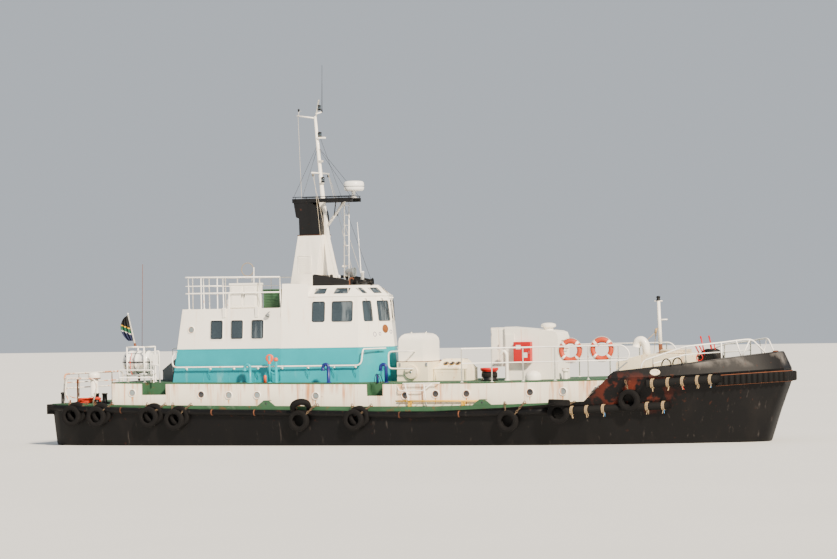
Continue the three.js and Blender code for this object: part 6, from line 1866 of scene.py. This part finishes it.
makeEnsign()
toggles = Shape()
for share in (0.93, 0.5, 0.18):
    spot = staff[0].lerp(staff[1], share)
    toggles.ringLathe(hoopProfile(0.03, 0.006, 8), spot, 0, 18, staff[1] - staff[0])
toggles.rod(staff[0].lerp(staff[1], 0.99), staff[0].lerp(staff[1], 0.06) + vec(-0.035, 0, 0), 0.004, 0, 6)
toggles.rod((-9.32, -1.68, 3.2), (-9.26, -1.66, 5.9), 0.009, 1, 8)
toggles.make("ensign_halyard", [whiteRope, rustySteel])

# Sloped hatch by the deckhouse, with its coaming, hinges and clips
painted("aft_hatch", "aft_hatch_body", [greyPaint], "grey_paint", bevel=0.012)
hatch = Shape()
for y in (-0.35, 0.85):
    hatch.tube([(-9.25, y, 2.38), (-8.65, y, 2.83), (-8.35, y, 2.78)], 0.014, 0, 8)
for y in (-0.2, 0.25, 0.7):
    hatch.rod((-8.62, y - 0.06, 2.845), (-8.62, y + 0.06, 2.845), 0.018, 1)
    hatch.box(-9.27, -9.2, y - 0.02, y + 0.02, 2.3, 2.42, 1)
hatch.bent(
    [(-9.1, 0.1, 2.49), (-9.14, 0.1, 2.55), (-9.14, 0.4, 2.55), (-9.1, 0.4, 2.49)], 0.03, 3, 0.01, 1, 8
)
hatch.bent(
    [(-8.78, -0.36, 2.3), (-8.78, -0.52, 2.32), (-8.78, -0.52, 3.1), (-8.6, -0.52, 3.12)], 0.05, 4, 0.014, 2,
    10
)
hatch.make("aft_hatch_fittings", [greyPaint, brightSteel, railWhite], "grey_paint")

# Stern rail with its rusted joints
sternValues = {"x": -11.98, "head": 2.33}
stern = Shape()
sternX, head = sternValues["x"], sternValues["head"]
foot = deckZ(sternX)
stern.bent(
    [(sternX, -2.16, foot), (sternX, -2.1, head), (sternX, 2.1, head), (sternX, 2.16, foot)], 0.18, 6, 0.03,
    0, 14
)
for z in (2.04, 1.86):
    stern.rod((sternX, -2.12, z), (sternX, 2.12, z), 0.018)
for y in (-1.1, 0.1, 1.3):
    stern.rod((sternX, y, foot), (sternX, y, head), 0.02)
for side in (-1, 1):
    y = side * 2.26
    hoop = [
        (-11.7, y, deckZ(-11.7)), (-11.88, y, 1.7), (-11.83, y, 2.19), (-10.82, y, 2.17), (-10.7, y, 1.95),
        (-10.86, y, deckZ(-10.86))
    ]
    stern.bent(hoop, 0.14, 6, 0.03, 0, 14)
    stern.rod((-11.42, y, deckZ(-11.42)), (-11.42, y, 2.185), 0.026, 1)
    stern.rod((sternX, side * 2.1, 2.2), (-11.8, side * 2.26, 2.188), 0.02)
    stern.bent([(-11.72, y, 1.62), (-11.6, y, 1.55), (-11.0, y, 1.56), (-10.86, y, 1.6)], 0.06, 4, 0.018)
    for x, z in ((-11.7, 1.42), (-10.86, 1.42), (-11.42, 1.5), (-11.42, 2.14)):
        stern.rod((x, y, z - 0.04), (x, y, z + 0.06), 0.027, 1)
for y in (-2.15, -1.1, 0.1, 1.3, 2.15):
    stern.lathe(
        [(0.05, 0), (0.05, 0.014), (0.026, 0.02), (0.026, 0.1), (0.02, 0.104)], (sternX, y, foot), 1, 16
    )
stern.make("stern_rail_bars", [railWorn, rustySteel], replaces=["stern_rail"])

# Bitts, vent and the coiled line of the after deck
aft = Shape()
foot = deckZ(-10.82)
for y in (-0.42, 0.42):
    aft.lathe(
        [
            (0.15, 0), (0.15, 0.02), (0.112, 0.03), (0.11, 0.55), (0.125, 0.57), (0.128, 0.6), (0.11, 0.622),
            (0, 0.63)
        ],
        (-10.82, y, foot), 0, 32
    )
aft.tube([(-10.82, -0.62, 1.78), (-10.82, 0.62, 1.78)], 0.065, 0, 20)
for y in (-0.62, 0.62):
    aft.lathe([(0.065, 0), (0.08, 0.01), (0.08, 0.03), (0, 0.04)], (-10.82, y, 1.78), 0, 20, (0, y, 0))
aft.make("towing_bitts_posts", [blackPaint], "black_paint", replaces=["towing_bitts"])
quarter = Shape()
for side in (-1, 1):
    base = deckZ(-10.7)
    quarter.box(-10.98, -10.44, side * 2.0 - 0.11, side * 2.0 + 0.11, base, 1.4)
    for x in (-10.56, -10.86):
        quarter.lathe(
            [(0.1, 1.39), (0.085, 1.41), (0.082, 1.64), (0.1, 1.655), (0.1, 1.68), (0.085, 1.69), (0, 1.692)],
            (x, side * 2.0, 0), 0, 28
        )
    quarter.lathe(
        [(0.05, 0), (0.05, 0.3), (0.065, 0.32), (0.06, 0.36), (0, 0.38)], (-11.96, side * 2.3, deckZ(-11.96)),
        0, 20
    )
quarter.make("quarter_bitts_posts", [blackPaint], "black_paint", replaces=["quarter_bitts"])
vent = Shape()
ventAt = (-11.56, -0.8)
vent.lathe([(0.17, 0), (0.17, 0.02), (0.13, 0.03), (0.13, 0.76)], (*ventAt, deckZ(ventAt[0])), 0, 32)
vent.lathe(
    [(0.17, 2.13), (0.208, 2.135), (0.212, 2.16), (0.21, 2.25), (0.19, 2.31), (0.12, 2.355), (0, 2.37)],
    (*ventAt, 0), 0, 40
)
vent.ringLathe([(0.208, 2.14), (0.216, 2.145), (0.216, 2.165), (0.208, 2.17)], (*ventAt, 0), 1, 40)
vent.make("stern_vent_cowl", [houseWhite, rustySteel], replaces=["stern_vent"])
aftRope = {
    "diameter": 0.04, "inner": 0.14, "pitch": 0.046, "turns": 5, "layers": 4, "start": -90, "way": -1,
    "straight": 0, "wave": 0.03
}
deckTop = deckZ(-11.32)
aftCoil = coilRoute((-11.32, -1.6), deckTop, aftRope)
# Two turns round the quarter bitt, each lower than the one before
hitchValues = {"at": (-10.86, -2.0, 1.57), "radius": 0.106, "fall": 0.045, "turns": 2, "steps": 28}
h = hitchValues
hitchX, hitchY, hitchZ = h["at"]
hitch = []
for k in range(h["turns"] * h["steps"] + 1):
    done = k / h["steps"]
    a = radians(90 + 360 * done)
    hitch.append(vec(hitchX + h["radius"] * cos(a), hitchY + h["radius"] * sin(a), hitchZ - h["fall"] * done))
low = deckTop + 0.021
aftLead = [(-10.93, -1.892, 1.475), (-11.0, -1.9, 1.44), (-11.08, -1.93, low + 0.02), (-11.18, -1.975, low)]
tail = [
    (-11.45, -2.0, low + 0.12), (-11.58, -1.98, low + 0.03), (-11.7, -1.9, low), (-11.8, -1.7, low),
    (-11.86, -1.3, low), (-11.83, -0.9, low), (-11.87, -0.5, low), (-11.85, -0.1, low)
]
aftRoute = hitch + rounded(hitch[-1:] + aftLead + aftCoil[:1], 0.05, 4)[1:-1]
aftRoute += aftCoil + rounded(aftCoil[-1:] + tail, 0.15, 6)[1:]
layRope("after_deck_rope", aftRoute, aftRope["diameter"], orangeRope, "red_paint")
print("after deck dressed")

# Doors, helm and floor
painted(
    "deckhouse_door", "deckhouse_door_leaf", [tealPaint], "teal_paint", bevel=0.006, body="deckhouse_door"
)
leaf = Shape()
doorX = lambda z: aftWallX(z) - 0.052
leaf.bent(
    [
        (doorX(3.0), 1.14, 2.94), (doorX(3.0) - 0.045, 1.14, 2.96), (doorX(3.1) - 0.045, 1.14, 3.1),
        (doorX(3.1), 1.14, 3.12)
    ],
    0.02, 3, 0.009, 0, 8
)
addPorthole(leaf, (doorX(3.55), 1.41, 3.55), (-1, 0, wallValues["aftLean"]), 0.13)
for z in (2.25, 3.85):
    leaf.box(doorX(z) - 0.012, doorX(z), 1.1, 1.72, z - 0.025, z + 0.025, 2)
leaf.make("deckhouse_door_fittings", [brightSteel, portGlass, tealPaint], "teal_paint", body="deckhouse_door")
painted("wheelhouse_floor", "wheelhouse_floor_boards", [varnish], "floor_boards")
painted(
    "helm", "helm_desk", [greyPaint, clothBlack], "grey_paint", rule=lambda c, n: int(c.x < -2.3), bevel=0.012
)

# Propellers with their blade sections, and the rudders
screwValues = {"x": -10.2, "y": 1.08, "z": -1.42, "blades": 4, "table": [
    # radius, chord, thickness, twist, sweep
    (0.07, 0.15, 0.034, 0.95, 0.0), (0.13, 0.2, 0.03, 0.85, 0.02), (0.22, 0.28, 0.024, 0.7, 0.05),
    (0.32, 0.32, 0.018, 0.6, 0.09), (0.41, 0.29, 0.013, 0.53, 0.15), (0.475, 0.2, 0.009, 0.48, 0.2),
    (0.508, 0.1, 0.006, 0.45, 0.24), (0.517, 0.03, 0.004, 0.44, 0.26),
]}


def makePropeller(name, side):
    s = screwValues
    centre = vec(s["x"], side * s["y"], s["z"])
    screw = Shape()
    screw.lathe(
        [
            (0, -0.205), (0.03, -0.2), (0.06, -0.17), (0.085, -0.128), (0.093, -0.05), (0.095, 0.05),
            (0.09, 0.12), (0.05, 0.128)
        ],
        centre, 0, 40, (1, 0, 0)
    )
    for start in wholeTurn(s["blades"]):
        rings = []
        for radius, chord, thick, twist, sweep in s["table"]:
            ring = []
            for a in wholeTurn(20):
                c, d = chord / 2 * cos(a), thick / 2 * sin(a) * (1.15 + 0.5 * cos(a))
                across = c * cos(twist) - d * sin(twist)
                along = side * (c * sin(twist) + d * cos(twist))
                turn = start + side * (sweep + across / radius)
                ring.append(centre + vec(along, radius * cos(turn), radius * sin(turn)))
            rings.append(ring)
        screw.rings(rings, 0, True)
    screw.make(
        "propeller_casting_" + name, [bronze], "bronze", body="propeller_" + name,
        replaces=["propeller_" + name]
    )


for name, side in sides.items():
    makePropeller(name, side)
    painted(
        "rudder_" + name, "rudder_blade_" + name, [antifouling], "hull_paint", bevel=0.01,
        body="rudder_" + name
    )
print("under water gear made")

# Floor and light
stageValues = {
    "floorTone": "#d9d9d6", "floorSize": 220, "sunWay": (52, 0, 52), "sunPower": 10.5, "sunSoft": 5,
    "sky": "#dfe7f0", "skyPower": 0.72
}
floor = Shape().box(
    -stageValues["floorSize"], stageValues["floorSize"], -stageValues["floorSize"], stageValues["floorSize"],
    -0.02, 0
)
floorMesh = bpy.data.meshes.new("floor")
floorMesh.from_pydata(floor.verts, [], floor.faces)
floorMesh.materials.append(finish("pale floor", stageValues["floorTone"], 0.7, mottle=0.02, grain=0.1))
linked("floor", floorMesh)

sunData = bpy.data.lights.new("sun", "SUN")
sunData.energy, sunData.angle = stageValues["sunPower"], radians(stageValues["sunSoft"])
sunData.color = linear("#ffeed7")[:3]
linked("sun", sunData).rotation_euler = [radians(a) for a in stageValues["sunWay"]]

world = bpy.data.worlds.new("sky")
world.use_nodes = True
background = next(n for n in world.node_tree.nodes if n.type == "BACKGROUND")
background.inputs[0].default_value = linear(stageValues["sky"])
background.inputs[1].default_value = stageValues["skyPower"]
bpy.context.scene.world = world
print("stage set")
